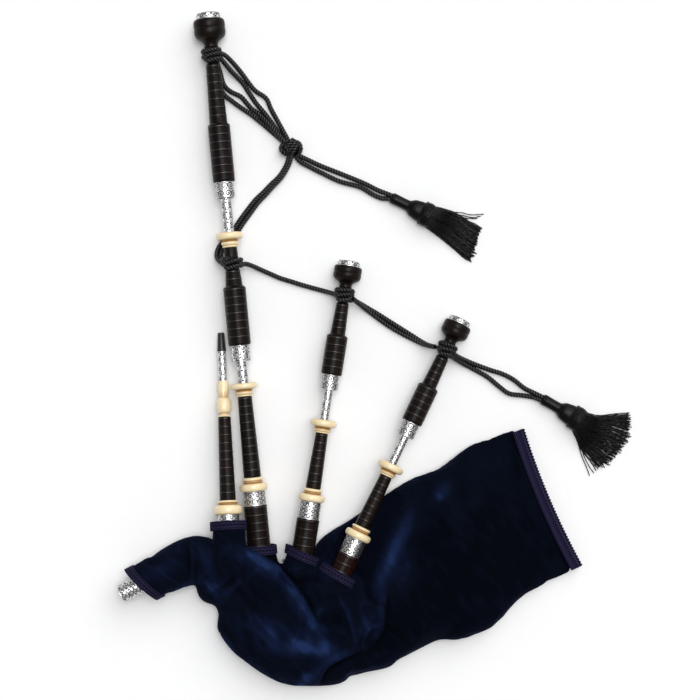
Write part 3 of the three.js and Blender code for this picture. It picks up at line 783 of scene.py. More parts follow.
def make_chanter_stock():
    """The ferrule reaches further into the collar than its solid does, since the collar's mouth is cut askew."""
    pipe = pipes["chanter"]
    inset = -26.0

    def wood_end(outline):
        return [(inset - 0.3 if abs(station) < 0.4 else station, radius) for station, radius in outline]

    def metal_end(outline):
        return [(inset if abs(station - 0.5) < 0.4 else station, radius) for station, radius in outline]

    wooden("chanter_stock", pipe, looks["blackwood"], reshape=wood_end)
    metal("chanter_stock_ferrule", pipe, reshape=metal_end)


# ---------------------------------------------------------------- cords

CORD = 4.2                 # the cord's radius
REST = 4.3                 # the height of its middle where it lies on the table
LAY = 14.0                 # one turn of its plies
KNOT = (-90, 324, 10)

UPPER_STRANDS = (
    ((-205, 474, 28), (-197, 471, 22), (-184, 459, 12), (-172, 445, 6), (-161, 430, REST), (-150, 417, REST),
     (-133, 405, REST), (-125, 388, REST), (-113, 366, REST), (-102, 346, 6), (-94, 331, 9)),
    ((-203, 464, 24), (-189, 448, 12), (-171, 430, 5), (-161, 415, REST), (-148, 396, REST), (-133, 378, REST),
     (-120, 360, REST), (-108, 343, 6), (-97, 331, 9)),
    ((-212, 463, 12), (-207, 447, 8), (-201, 427, 5), (-190, 416, REST), (-174, 408, REST), (-164, 397, REST),
     (-156, 388, 4), (-146, 381, 5.5), (-136, 371, 8), (-123, 357, 9.5), (-109, 341, 11), (-97, 329, 11)),
    ((-218, 459, 10), (-214, 440, 8), (-203, 414, 5), (-187, 400, REST), (-172, 389, REST), (-156, 378, REST),
     (-140, 365, REST), (-120, 348, 4), (-104, 334, 7), (-94, 326, 9)),
)
TASSEL_1_STRANDS = (
    ((-88, 320, 11), (-81, 313, 10), (-62, 304, 5), (-42, 295, REST), (-9, 282, REST), (25, 268, REST),
     (47, 257, 5), (69, 248, 9), (95, 236, 9.5), (122, 223, 11)),
    ((-88, 316, 8), (-78, 303, 6), (-62, 294, 4), (-42, 284, REST), (-14, 271, REST), (18, 262, REST),
     (39, 250, 4), (53, 244, 5), (68, 242, 9), (93, 231, 9.5), (119, 218, 11)),
)
LOWER_PAIR = (
    (-93, 320, 9), (-94, 312, 7), (-99, 296, 4), (-110, 278, REST), (-123, 265, REST), (-135, 252, REST), (-148, 239, REST),
    (-161, 222, REST), (-174, 204, REST), (-183, 190, REST), (-193, 179, REST), (-201, 170, 4), (-207, 160, 8),
    (-208, 149, 15), (-202, 141, 24), (-196, 139, 32),
)
SPAN_1 = (
    (-170, 136, 29), (-164, 137, 21), (-154, 134, 11), (-138, 127, 5), (-124, 121, REST), (-110, 115, REST),
    (-94, 110, REST), (-75, 104, REST), (-57, 99, REST), (-40, 94.5, 6), (-28, 91, 12), (-20, 88, 20),
)
SPAN_2 = (
    (7, 81, 26), (13, 77, 17), (22, 72, 9), (34, 65, 4.5), (46, 58, REST), (65, 46, REST), (84, 34, REST),
    (103, 22, REST), (118, 12.5, 6), (129, 7, 13), (139, 4, 22),
)
TASSEL_2_STRANDS = (
    ((168, -7, 28), (176, -12, 17), (187, -17, 9), (201, -23, 5), (228, -33, REST), (247, -39, REST), (265, -48, REST),
     (283, -62, REST), (297, -69, 5), (311, -76, 9), (336, -90, 9.5), (362, -105, 11)),
    ((166, -12, 24), (174, -17, 14), (185, -23, 7), (206, -34, REST), (225, -45, REST), (242, -59, REST),
     (259, -71, REST), (280, -74, REST), (297, -77, 5), (310, -82, 9), (334, -96, 9.5), (358, -110, 11)),
)


def rope(name, line, start=0.0):
    points, faces, tone = twisted(line, CORD, 3, LAY, 8, start)
    return mesh_piece(name, points, faces, looks["cord"], tone=tone)


def declare(piece, line):
    """Works out the length of a rope's line, and does nothing with it."""
    line_length(line) * MM


def beside(line, across, rise):
    """A line moved to its side and up. across and rise give millimetres from the share of the way along."""
    side, _ = frames_along(line)
    side[:, 2] = 0
    side /= np.linalg.norm(side, axis=1)[:, None]
    share = np.linspace(0, 1, len(line))
    return line + side * across(share)[:, None] + np.array([0, 0, 1.0]) * rise(share)[:, None]


def make_knot():
    """The cord's large knot: three tight turns round the strands, and two loops that cross over and under them."""
    centre = np.array(KNOT, float)
    heading = np.array([0.70, -0.71, 0.0])
    side = np.array([0.71, 0.70, 0.0])
    top = np.array([0, 0, 1.0])

    def placed(along, across, up):
        return centre + np.outer(along, heading) + np.outer(across, side) + np.outer(up, top)

    turn = np.linspace(0, 2 * math.pi * 2.6, 120)
    coil = placed(-9 + turn * 2.6 / 2.6 * 0.95, 9.5 * np.cos(turn), 0.6 + 7.2 * np.sin(turn))
    sweep = np.linspace(0, 2 * math.pi, 90)
    bend = placed(11 * np.sin(sweep) + 1.5, 11.5 * np.cos(sweep) + 1, 2.2 + 4.6 * np.sin(2 * sweep))
    ear = placed(9 * np.sin(sweep) - 6, -8 + 7.5 * np.cos(sweep), 1.0 + 4.0 * np.cos(2 * sweep))
    parts = [twisted(smooth_line(path, 1.1), CORD, 3, LAY, 8) for path in (coil, bend, ear)]
    core = tube(smooth_line(placed(np.array([-13, 0, 13.0]), np.zeros(3), np.zeros(3)), 3), 7.0, 14)
    points, faces, tone = joined([*parts, core])
    points[:, 2] = np.maximum(points[:, 2], 0.3)
    knot = mesh_piece("knot_wraps", points, faces, looks["cord"], tone=tone)
    return stand_for(knot, "cord_knot")


def make_tie(node, pipe, radius, start, end):
    """A cord wound round a drone's tie groove, from one station to another."""
    reach = radius + CORD
    turns = (end - start - 2 * CORD) / (2 * CORD * 1.02)
    turn = np.linspace(0, 2 * math.pi * (turns + 0.4), round(46 * turns))
    station = np.clip(start + CORD + turn / (2 * math.pi) * 2 * CORD * 1.02, start + CORD, end - CORD)
    line = [pipe.point(s, reach * math.cos(t + 0.8), reach * math.sin(t + 0.8)) for s, t in zip(station, turn)]
    points, faces, tone = twisted(smooth_line(line, 1.2), CORD, 3, LAY, 8)
    return stand_for(mesh_piece("tie_" + node, points, faces, looks["cord"], tone=tone), node)


def halves(name, line):
    """A cord that hangs between two drones, made as two ropes that meet at its middle."""
    middle = len(line) // 2
    first = rope(name + "_first", line[: middle + 1])
    second = rope(name + "_second", line[middle:], line_length(line[: middle + 1]))
    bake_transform(first)
    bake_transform(second)
    declare(first, line[: middle + 1])
    declare(second, line[middle:])
    return first, second


def make_cords():
    bass, tenor_1, tenor_2 = pipes["bass"], pipes["tenor_1"], pipes["tenor_2"]
    make_tie("cord_bass_tie", bass, 9.5, 765.5, 790.5)
    middle_tie = make_tie("cord_middle_tie", bass, 10.5, 433, 456)
    make_tie("cord_tenor_1_tie", tenor_1, 8.6, 398, 423.5)
    make_tie("cord_tenor_2_tie", tenor_2, 8.6, 398, 423.5)
    knot = make_knot()
    for number, route in enumerate(UPPER_STRANDS, 1):
        line = smooth_line(route, 1.1)
        piece = rope(f"upper_strand_{number}", line)
        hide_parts("cord_upper_strands")
        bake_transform(piece)
        declare(piece, line)
    pair = smooth_line(LOWER_PAIR, 1.1)
    spreads = (lambda share: 1.8 + 1.7 * smoothstep(0.1, 0.6, share), lambda share: -1.8 - 1.7 * smoothstep(0.1, 0.6, share))
    rises = (lambda share: 0 * share, lambda share: 5.2 * (1 - smoothstep(0.15, 0.55, share)))
    for number, (spread, rise) in enumerate(zip(spreads, rises), 1):
        line = beside(pair, spread, rise)
        piece = rope(f"lower_strand_{number}", line)
        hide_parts("cord_lower_strands")
        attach(piece, "bass_middle")
        declare(piece, line)
    for piece in halves("span_1", smooth_line(SPAN_1, 1.1)):
        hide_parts("cord_span_1")
    span = smooth_line(SPAN_2, 1.1)
    hump = lambda share: np.sin(math.pi * share) ** 1.5
    for number, (spread, rise) in enumerate(((lambda s: 0 * s, lambda s: 0 * s),
                                             (lambda s: 6.9 * hump(s), lambda s: 6 * (1 - hump(s)) ** 2)), 1):
        line = beside(span, spread, rise)
        for piece in halves(f"span_2_strand_{number}", line):
            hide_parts("cord_span_2")


# ---------------------------------------------------------------- tassels

HEAD_OUTLINE = (
    # distance from the tip, half width, half height
    (0.0, 4.5, 4.5), (0.6, 7.6, 7.6), (2.2, 8.7, 8.7), (4.6, 8.9, 8.9), (5.0, 8.4, 8.4), (5.6, 8.4, 8.4), (6.0, 8.9, 8.9),
    (16, 8.7, 8.7), (29, 8.9, 8.8), (33, 10.6, 9.6), (38, 13.4, 10.8), (44, 14.8, 11.4), (50, 15.9, 11.6), (53, 16.2, 11.4),
    (55, 17.4, 12.2), (60, 19.4, 13.2), (65, 19.8, 13.4), (70, 18.8, 12.6), (74, 17.0, 11.0), (76, 12.0, 8.0),
)
THREAD = 1.05
THREADS = 168
FRINGE_FROM = 66


class TasselFrame:
    """A tassel's own frame: distance along it from its tip, distance across it, and height over the table."""

    def __init__(self, tip, heading):
        angle = math.radians(heading)
        self.tip = np.array([*tip, 0.0])
        self.along = np.array([math.cos(angle), math.sin(angle), 0.0])
        self.across = np.array([-math.sin(angle), math.cos(angle), 0.0])

    def place(self, points):
        points = np.asarray(points, float)
        return self.tip + points[:, :1] * self.along + points[:, 1:2] * self.across + points[:, 2:] * np.array([0, 0, 1.0])


def tassel_head(node, where):
    """The wrapped barrel and the two lobed knob below it."""
    outline = smooth_line(HEAD_OUTLINE, 0.55)
    sides = 110
    angle = np.arange(sides) * 2 * math.pi / sides
    s, width, height = (outline[:, k:k + 1] for k in range(3))
    wraps = 0.16 * np.cos(2 * math.pi * s / 1.25) * (1 - smoothstep(29, 33, s))
    strands = 0.34 * np.abs(np.cos(angle * 22 + 0.06 * s)) * smoothstep(31, 38, s) * (1 - smoothstep(53, 56, s))
    strands = strands + 0.28 * np.cos(angle * 3 + 2 * math.pi * s / 3.4) * smoothstep(55, 58, s) * (1 - smoothstep(70, 73, s))
    grow = wraps + strands
    across = (width + grow) * np.cos(angle)
    up = np.maximum(0.3, height + (height + grow) * np.sin(angle))
    points = where.place(np.stack([s + 0 * across, across, up], -1).reshape(-1, 3))
    faces = ring_faces(len(outline), sides)
    faces += [list(range(sides))[::-1], list(range(len(points) - sides, len(points)))]
    band = [(57 + 3.2 * math.sin(t), 18.9 * math.cos(t), 13.2 + 13.0 * math.sin(t)) for t in np.linspace(0, 2 * math.pi, 60)]
    band_points, band_faces = tube(where.place(np.maximum(band, [0, -99, 1.2])), 1.15, 8)
    points, faces, _ = joined([(points, faces), (band_points, band_faces)])
    return mesh_piece("head_" + node, points, faces, looks["satin"])


def tassel_fringe(node, where, fan, end_of, strays):
    """The skirt of twisted threads. fan gives the skirt's (distance, upper edge, lower edge) and end_of its length."""
    along, upper, lower = np.array(fan, float).T
    parts = []

    def spot(station, share, rise):
        top = np.interp(station, along, upper)
        low = np.interp(station, along, lower)
        return station, (top + low) / 2 + share * (top - low) / 2, rise

    for number in range(THREADS):
        layer = number % 4
        share = (number // 4 + 0.5) / (THREADS / 4) * 2 - 1
        share = float(np.clip(share + draw.normal(0, 0.025), -1, 1)) * (1 - 0.05 * layer)
        end = end_of(share) + draw.normal(0, 2.0) - 1.5 * layer
        arch = math.sqrt(max(0.03, 1 - share * share))
        route = []
        for t in (0, 0.2, 0.42, 0.66, 0.85, 1):
            station = FRINGE_FROM + (end - FRINGE_FROM) * t
            rise = 1.3 + 2.0 * layer + (3.0 + 5.2 * layer) * arch * (1 - smoothstep(0, 0.62, t))
            wander = 0 if t == 0 else draw.normal(0, 0.028)
            route.append(spot(station, share + wander, rise))
        line = smooth_line(route, 2.0)
        parts.append(twisted(where.place(line), THREAD, 2, 5.0, 5, draw.uniform(0, 5)))
    for route in strays:
        parts.append(twisted(where.place(smooth_line(route, 2.0)), THREAD, 2, 5.0, 5))
    sides = np.linspace(0, 2 * math.pi, 28, endpoint=False)
    rows = []
    for station in np.linspace(FRINGE_FROM, along[-3], 8):
        thick = 6.0 - 4.6 * smoothstep(FRINGE_FROM, FRINGE_FROM + 50, station)
        rows.append([spot(station, 0.86 * math.cos(t), 0.3 + thick * (1 + math.sin(t))) for t in sides])
    faces = ring_faces(len(rows), len(sides))
    faces += [list(range(len(sides)))[::-1], list(range(len(sides) * (len(rows) - 1), len(sides) * len(rows)))]
    parts.append((where.place(np.vstack(rows)), faces))
    points, faces, tone = joined(parts)
    points[:, 2] = np.maximum(points[:, 2], 0.25)
    return mesh_piece("fringe_" + node, points, faces, looks["cord"], tone=tone)


TASSEL_1 = TasselFrame((68.8, 244.8), -26)
TASSEL_2 = TasselFrame((312, -79.2), -30)
STRAYS_1 = (
    ((96, 21, 5), (112, 28, 3), (128, 32, 2), (146, 42, 1.4)),
    ((98, 20, 3), (116, 25, 2), (132, 29, 1.5), (143, 37, 1.4)),
    ((104, 18, 3), (124, 24, 2), (140, 31, 1.4)),
)
STRAYS_2 = (
    ((90, 19, 4), (112, 36, 2), (134, 51, 1.4)),
    ((92, 18, 3), (116, 36, 2), (134, 48, 1.4)),
    ((74, -21, 5), (100, -46, 2.5), (118, -60, 1.6), (129, -69, 1.4)),
    ((76, -20, 4), (104, -45, 2.4), (122, -57, 1.5), (133, -62, 1.4)),
)
FAN_1 = ((66, 18, -18), (78, 21, -20), (91, 23, -22), (110, 24.5, -26), (130, 22, -31), (149, 21, -36), (165, 20, -37))
FAN_2 = ((66, 17.5, -19), (78, 18.5, -27), (91, 20, -36), (101, 27, -44), (120, 42, -50), (134, 50, -57), (156, 60, -60))


def make_tassels():
    tassels = (("tassel_1", TASSEL_1, FAN_1, lambda share: 157 - 5 * share, STRAYS_1, TASSEL_1_STRANDS),
               ("tassel_2", TASSEL_2, FAN_2, lambda share: 153 - 21 * share**2, STRAYS_2, TASSEL_2_STRANDS))
    for node, where, fan, end_of, strays, routes in tassels:
        head = tassel_head(node, where)
        fringe = tassel_fringe(node, where, fan, end_of, strays)
        for piece in (head, fringe):
            stand_for(piece, node)
        for number, route in enumerate(routes, 1):
            line = smooth_line(route, 1.1)
            piece = rope(f"{node}_strand_{number}", line)
            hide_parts(f"cord_{node}_strands")
            if node == "tassel_1":
                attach(piece, "bass_middle")
            else:
                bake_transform(piece)
            declare(piece, line)


# ---------------------------------------------------------------- the bag's velvet cover

BAG_EDGE = (
    (-196, -312), (-222, -318), (-238, -345), (-246, -374), (-243, -396), (-231, -408), (-217, -411), (-210, -424),
    (-212, -449), (-198, -472), (-174, -497), (-137, -522), (-104, -537), (-79, -541), (-15, -539), (17, -525),
    (66, -513), (84, -503), (116, -487), (148, -472), (182, -471), (224, -456), (246, -441), (264, -420), (287, -399),
    (299, -392), (321, -379), (345, -366), (361, -353), (345, -314), (323, -259), (301, -205), (284, -165), (270, -131),
    (258, -130), (226, -143), (194, -154), (143, -189), (84, -216), (7, -269), (-12, -281), (-44, -302), (-72, -338), (-104, -350), (-128, -334), (-160, -312),
)
BAG_MIDDLE = np.array([40.0, -395.0])
BAG_HEIGHT = 72
BACK_HEIGHT = 18
BACK_LINE = ((272, -125), (356, -352))
SEAM = 13
SHOULDER = 78             # how far in from its edge the bag reaches its full height
CLEAR = 0.5               # the bag's lowest point over the table
VOXEL = 0.0042

# Collars: each pipe's (station, radius across, radius up, shift across, shift up) rings, from inside the bag to its mouth.
COLLARS = {
    "bass": ((-75, 22, 18, 0, 0), (-40, 28, 26, 0, 0), (-24, 27, 26, 0, 0), (-11, 26.6, 26, 0, 0)),
    "tenor_1": ((-75, 24, 20, 0, 0), (-40, 29, 27, 0, 0), (-18, 25.6, 25, 0, 0), (-5, 26.2, 26, 0, 0)),
    "tenor_2": ((-64, 26, 24, 0, 0), (-30, 31, 24, 0, 0), (0, 30.5, 23, 0, 0), (17, 30.5, 24, 0, 0)),
    "blowpipe": ((-108, 22, 20, 0, -6), (-72, 24, 24, 0, -3), (-34, 26.4, 26, 0, 0), (-5, 26.8, 27, 0, 0)),
    "chanter": ((-152, 20, 18, 16, 0), (-136, 30, 27, 8, 0), (-116, 37, 33, 4, 0), (-86, 38.5, 34, 2.5, 0),
                (-50, 34.5, 33.5, 1, 0), (-15, 31.5, 33, 0, 0)),
}
SKEW = {"bass": 0.05, "tenor_1": 0.26, "tenor_2": 0.07, "blowpipe": 0.0, "chanter": -0.36}

# Folds: kind, height, width either side, and the line in plan that each follows.
FOLDS = (
    ("lap", 9.0, 20, ((-164, -312), (-138, -324), (-113, -343), (-92, -364), (-76, -383), (-58, -412), (-50, -430))),
    ("valley", 6.0, 7, ((-96, -372), (-84, -371), (-58, -364), (-40, -366))),
    ("ridge", 5.5, 5, ((-16, -388), (-2, -412), (6, -442), (14, -473))),
    ("lap", 8.0, 16, ((20, -476), (0, -484), (-14, -490), (-36, -506), (-50, -540))),
    ("lap", 6.5, 14, ((60, -384), (58, -406), (57, -425), (54, -442), (41, -463), (25, -482))),
    ("ridge", 5.0, 4, ((19, -472), (25, -454), (34, -439), (56, -432))),
    ("ridge", 9.0, 17, ((52, -400), (50, -369), (65, -337), (78, -302), (89, -278), (104, -248))),
    ("valley", 5.0, 8, ((30, -398), (28, -372), (40, -338), (55, -306))),
    ("valley", 3.0, 6, ((-36, -412), (-41, -422), (-46, -434), (-52, -446))),
    ("ridge", 4.0, 7, ((-34, -392), (-46, -412), (-60, -440), (-66, -462))),
    ("valley", 6.0, 7, ((-176, -356), (-188, -368), (-204, -380), (-222, -394))),
    ("ridge", 4.5, 7, ((-166, -362), (-182, -376), (-200, -392))),
    ("valley", 4.0, 5, ((-256, -300), (-254, -330), (-253, -362), (-256, -384))),
    ("ridge", 3.0, 4, ((-249, -304), (-247, -330), (-247, -362), (-250, -384))),
    ("valley", 3.5, 5, ((-241, -304), (-240, -335), (-242, -366), (-246, -392))),
    ("valley", 3.0, 7, ((-208, -430), (-196, -440), (-184, -462), (-176, -484))),
    ("ridge", 3.0, 16, ((130, -200), (160, -240), (176, -290), (182, -340))),
    ("valley", 2.5, 10, ((262, -160), (270, -190), (272, -226))),
    ("valley", 3.0, 9, ((150, -465), (170, -440), (200, -424))),
    ("ridge", 3.0, 12, ((-150, -480), (-110, -470), (-60, -474), (-20, -488))),
)

FOLD_GAIN = 1.45

# Painted highlights: where the velvet's colour is painted lighter, as plan centre, half length, half width, heading and
# strength.
PAINTED_HIGHLIGHTS = (
    (-122, -449, 46, 20, -40, 0.50), (-54, -468, 34, 14, -15, 0.55), (-66, -522, 24, 9, 62, 0.75), (70, -316, 62, 14, 66, 0.34),
    (146, -228, 18, 9, 55, 0.45), (92, -350, 36, 12, 75, 0.26), (-146, -334, 34, 13, -30, 0.50), (-48, -438, 26, 8, -60, 0.60),
    (-212, -378, 20, 12, -40, 0.55), (-262, -380, 26, 9, 25, 0.50), (-226, -330, 22, 12, -60, 0.40), (-186, -480, 34, 9, -55, 0.45),
    (28, -434, 26, 12, 60, 0.50), (-130, -512, 40, 8, -30, 0.25), (-80, -400, 40, 14, -55, 0.22), (-30, -350, 22, 14, 30, 0.30),
    (130, -190, 60, 9, 30, 0.22), (10, -300, 34, 9, 35, 0.25), (-310, -356, 40, 12, 27, 0.18), (60, -500, 60, 8, 20, 0.12),
)
# Painted shade: where the velvet's colour is painted darker, with the same columns.
SHADE = ((200, -330, 130, 95, 20, 0.30), (60, -455, 90, 34, 25, 0.24), (-150, -400, 50, 26, -60, 0.18), (-20, -420, 16, 34, 10, 0.15))


def distance_to(line, points, closed=False):
    """Distance, side and share of the way along, from plan points to a plan line."""
    line = np.asarray(line, float)
    ends = np.vstack([line, line[:1]]) if closed else line
    a, b = ends[:-1], ends[1:]
    span = b - a
    length = np.linalg.norm(span, axis=1)
    best = np.full(len(points), 1e9)
    side = np.zeros(len(points))
    share = np.zeros(len(points))
    before = np.concatenate([[0], np.cumsum(length)])
    for k in range(len(a)):
        away = points - a[k]
        t = np.clip(away @ span[k] / length[k] ** 2, 0, 1)
        gap = np.linalg.norm(away - t[:, None] * span[k], axis=1)
        closer = gap < best
        best = np.where(closer, gap, best)
        side = np.where(closer, np.sign(span[k][0] * away[:, 1] - span[k][1] * away[:, 0]), side)
        share = np.where(closer, (before[k] + t * length[k]) / before[-1], share)
    return best, side, share


def bag_body():
    """The filled bag as a closed mesh: full in the middle, thin along its edge, flat where it lies."""
    edge = smooth_line(BAG_EDGE, 6, closed=True)
    rings = []
    for t in np.concatenate([1 - np.linspace(0, 1, 22)[:-1] ** 1.6, [0.05]]):
        rings.append(BAG_MIDDLE + t * (edge - BAG_MIDDLE))
    plan = np.vstack(rings)
    depth, _, _ = distance_to(edge, plan, closed=True)
    rise = np.sqrt(1 - (1 - np.clip(depth / SHOULDER, 0, 1)) ** 2)
    full = BAG_HEIGHT - 16 * smoothstep(60, 300, plan[:, 0]) - 6 * smoothstep(-60, -190, plan[:, 0])
    behind, _, _ = distance_to(BACK_LINE, plan)
    full = BACK_HEIGHT + (full - BACK_HEIGHT) * smoothstep(4, 140, behind)
    top = SEAM + (full - SEAM) * rise
    bottom = CLEAR + (SEAM - CLEAR) * (1 - np.sqrt(1 - (1 - np.clip(depth / 26, 0, 1)) ** 2))
    count = len(edge)
    points = np.vstack([np.column_stack([plan, top]), np.column_stack([plan[count:], bottom[count:]])])
    faces = ring_faces(len(rings), count)
    lower = [[a + len(plan) - count if a >= count else a for a in face] for face in ring_faces(len(rings), count)]
    faces += [face[::-1] for face in lower]
    last = (len(rings) - 1) * count
    faces.append(list(range(last, last + count)))
    faces.append([index + len(plan) - count for index in range(last, last + count)][::-1])
    return points, faces


def collar_sleeve(name, grow=0.0):
    """One collar as a closed sleeve round its stock."""
    pipe = pipes[name]
    rows = smooth_line(COLLARS[name], 5)
    sides = 40
    angle = np.arange(sides) * 2 * math.pi / sides
    points = []
    for station, across, up, shift, lift in rows:
        reach = smoothstep(rows[0][0], rows[-1][0], station)
        for t in angle:
            x = shift + (across + grow) * math.cos(t)
            y = lift + (up + grow) * math.sin(t)
            points.append(pipe.point(station + SKEW[name] * x * reach, x, y))
    points = np.array(points)
    points[:, 2] = np.maximum(points[:, 2], CLEAR)
    faces = ring_faces(len(rows), sides)
    faces += [list(range(sides))[::-1], list(range(len(points) - sides, len(points)))]
    return points, faces


def facing_out(points, faces):
    """The faces, turned round if they face inward."""
    volume = 0.0
    for face in faces:
        for a, b in zip(face[1:], face[2:]):
            volume += float(np.dot(points[face[0]], np.cross(points[a], points[b])))
    return faces if volume > 0 else [face[::-1] for face in faces]


def applied(piece):
    """Replaces a piece's mesh with what its modifiers make of it."""
    bpy.context.view_layer.update()
    evaluated = piece.evaluated_get(bpy.context.evaluated_depsgraph_get())
    mesh = bpy.data.meshes.new_from_object(evaluated)
    piece.modifiers.clear()
    piece.data = mesh
    return piece


def coordinates(mesh):
    flat = np.zeros(len(mesh.vertices) * 3, np.float32)
    mesh.vertices.foreach_get("co", flat)
    return flat.reshape(-1, 3).astype(float)


def normals(mesh):
    flat = np.zeros(len(mesh.vertices) * 3, np.float32)
    mesh.vertices.foreach_get("normal", flat)
    return flat.reshape(-1, 3).astype(float)


def set_coordinates(mesh, points):
    mesh.vertices.foreach_set("co", np.asarray(points, np.float32).ravel())
    mesh.update()


def smoothed(mesh, points, rounds, weight=None):
    """Pulls each point towards the middle of its neighbours."""
    edges = np.zeros(len(mesh.edges) * 2, np.int64)
    mesh.edges.foreach_get("vertices", edges)
    a, b = edges.reshape(-1, 2).T
    degree = np.bincount(np.concatenate([a, b]), minlength=len(points))[:, None]
    weight = 1.0 if weight is None else weight[:, None]
    for _ in range(rounds):
        total = np.zeros_like(points)
        np.add.at(total, a, points[b])
        np.add.at(total, b, points[a])
        points = points + 0.5 * weight * (total / degree - points)
    return points


def puffed(piece, cap):
    """Lets cloth swell and pucker under a little pressure, with each point moving no further than cap."""
    scene = bpy.context.scene
    start = coordinates(piece.data)
    pin = piece.vertex_groups.new(name="held")
    held = np.zeros(len(start))
    for name, pipe in pipes.items():
        local = pipe.local(start / MM)
        near = np.hypot(local[:, 0], local[:, 1]) < 48
        held = np.maximum(held, near * smoothstep(COLLARS[name][-1][0] - 22, COLLARS[name][-1][0] - 8, local[:, 2]))
    held = np.maximum(held, 1 - smoothstep(0.0015, 0.006, start[:, 2]))
    for index, amount in enumerate(held):
        if amount > 0.01:
            pin.add([index], float(amount), "REPLACE")
    cloth = piece.modifiers.new("puff", "CLOTH").settings
    cloth.vertex_group_mass = "held"
    cloth.quality = 5
    cloth.use_pressure = True
    cloth.uniform_pressure_force = 3.0
    cloth.effector_weights.gravity = 0
    cloth.tension_stiffness = 12
    cloth.compression_stiffness = 12
    cloth.shrink_min = -0.022
    for number in range(1, 19):
        scene.frame_set(number)
    applied(piece)
    moved = coordinates(piece.data) - start
    far = np.linalg.norm(moved, axis=1)[:, None]
    moved *= np.minimum(1, cap / np.maximum(far, 1e-9))
    set_coordinates(piece.data, start + moved)
    piece.vertex_groups.clear()
    scene.frame_set(1)


def under_tenor(points):
    """The highest that velvet may stand below the second tenor, which lies on the bag, in millimetres."""
    pipe = pipes["tenor_2"]
    seat, along, side = (np.array(v) for v in (pipe.seat, pipe.along, pipe.side))
    plan = points[:, :2] - seat[:2]
    station = plan @ along[:2] / (along[:2] @ along[:2])
    across = np.abs(plan @ side[:2])
    radius = 19.5 + 4.2 * smoothstep(60, 76, station)
    ceiling = seat[2] + along[2] * station - radius + np.maximum(0, across - 8) ** 2 / 34
    ceiling = ceiling + 60 * (1 - smoothstep(18, 26, station)) + 60 * smoothstep(168, 185, station)
    return np.maximum(ceiling, 9)


def under_braid(points):
    """The highest that velvet may stand where the back edge's braid covers it, in millimetres."""
    run = BACK_LOW - BACK_TOP
    length = np.linalg.norm(run)
    away = points[:, :2] - BACK_TOP
    share = np.clip(away @ run / length**2, 0, 1)
    across = away @ np.array([-run[1], run[0]]) / length + BACK_BOW * 4 * share * (1 - share)
    return SEAM + 1 + 2.2 * np.maximum(0, -across - BACK_WIDTH / 2 + 1.5)


def fold_lift(points, facing):
    """How far the folds lift or sink the top of the velvet, in millimetres."""
    lift = np.zeros(len(points))
    for kind, height, width, route in FOLDS:
        line = smooth_line([(*point, 0) for point in route], 6)[:, :2]
        gap, side, share = distance_to(line, points[:, :2])
        taper = np.sin(math.pi * np.clip(share, 0.001, 0.999)) ** 0.45
        if kind == "lap":
            raised = height * np.exp(-(gap / width) ** 1.4)
            sunk = -0.55 * height * np.exp(-gap / (0.45 * width))
            shape = np.where(side < 0, raised, sunk)
            lip = smoothstep(-1.6, 1.6, -side * gap)
            shape = lip * raised + (1 - lip) * sunk
        else:
            shape = height * np.exp(-(gap / width) ** 2) * (1 if kind == "ridge" else -1)
        lift += FOLD_GAIN * shape * taper
    return lift * smoothstep(0.15, 0.6, facing)


def crumple(points, facing):
    """Small wrinkles in millimetres, most on the pulled cloth round the collars and least on the back panel."""
    rise = np.zeros(len(points))
    for index, (x, y, z) in enumerate(points):
        broad = noise.noise((x / 34, y / 22, z / 30))
        fine = noise.noise((x / 13 + 9, y / 9, z / 12))
        rise[index] = 1.5 * (1 - 2 * abs(broad)) + 0.6 * (1 - 2 * abs(fine))
    pulled = 1 - 0.85 * smoothstep(40, 130, points[:, 0] + 0.3 * (points[:, 1] + 400))
    return rise * pulled * smoothstep(0.1, 0.6, facing)


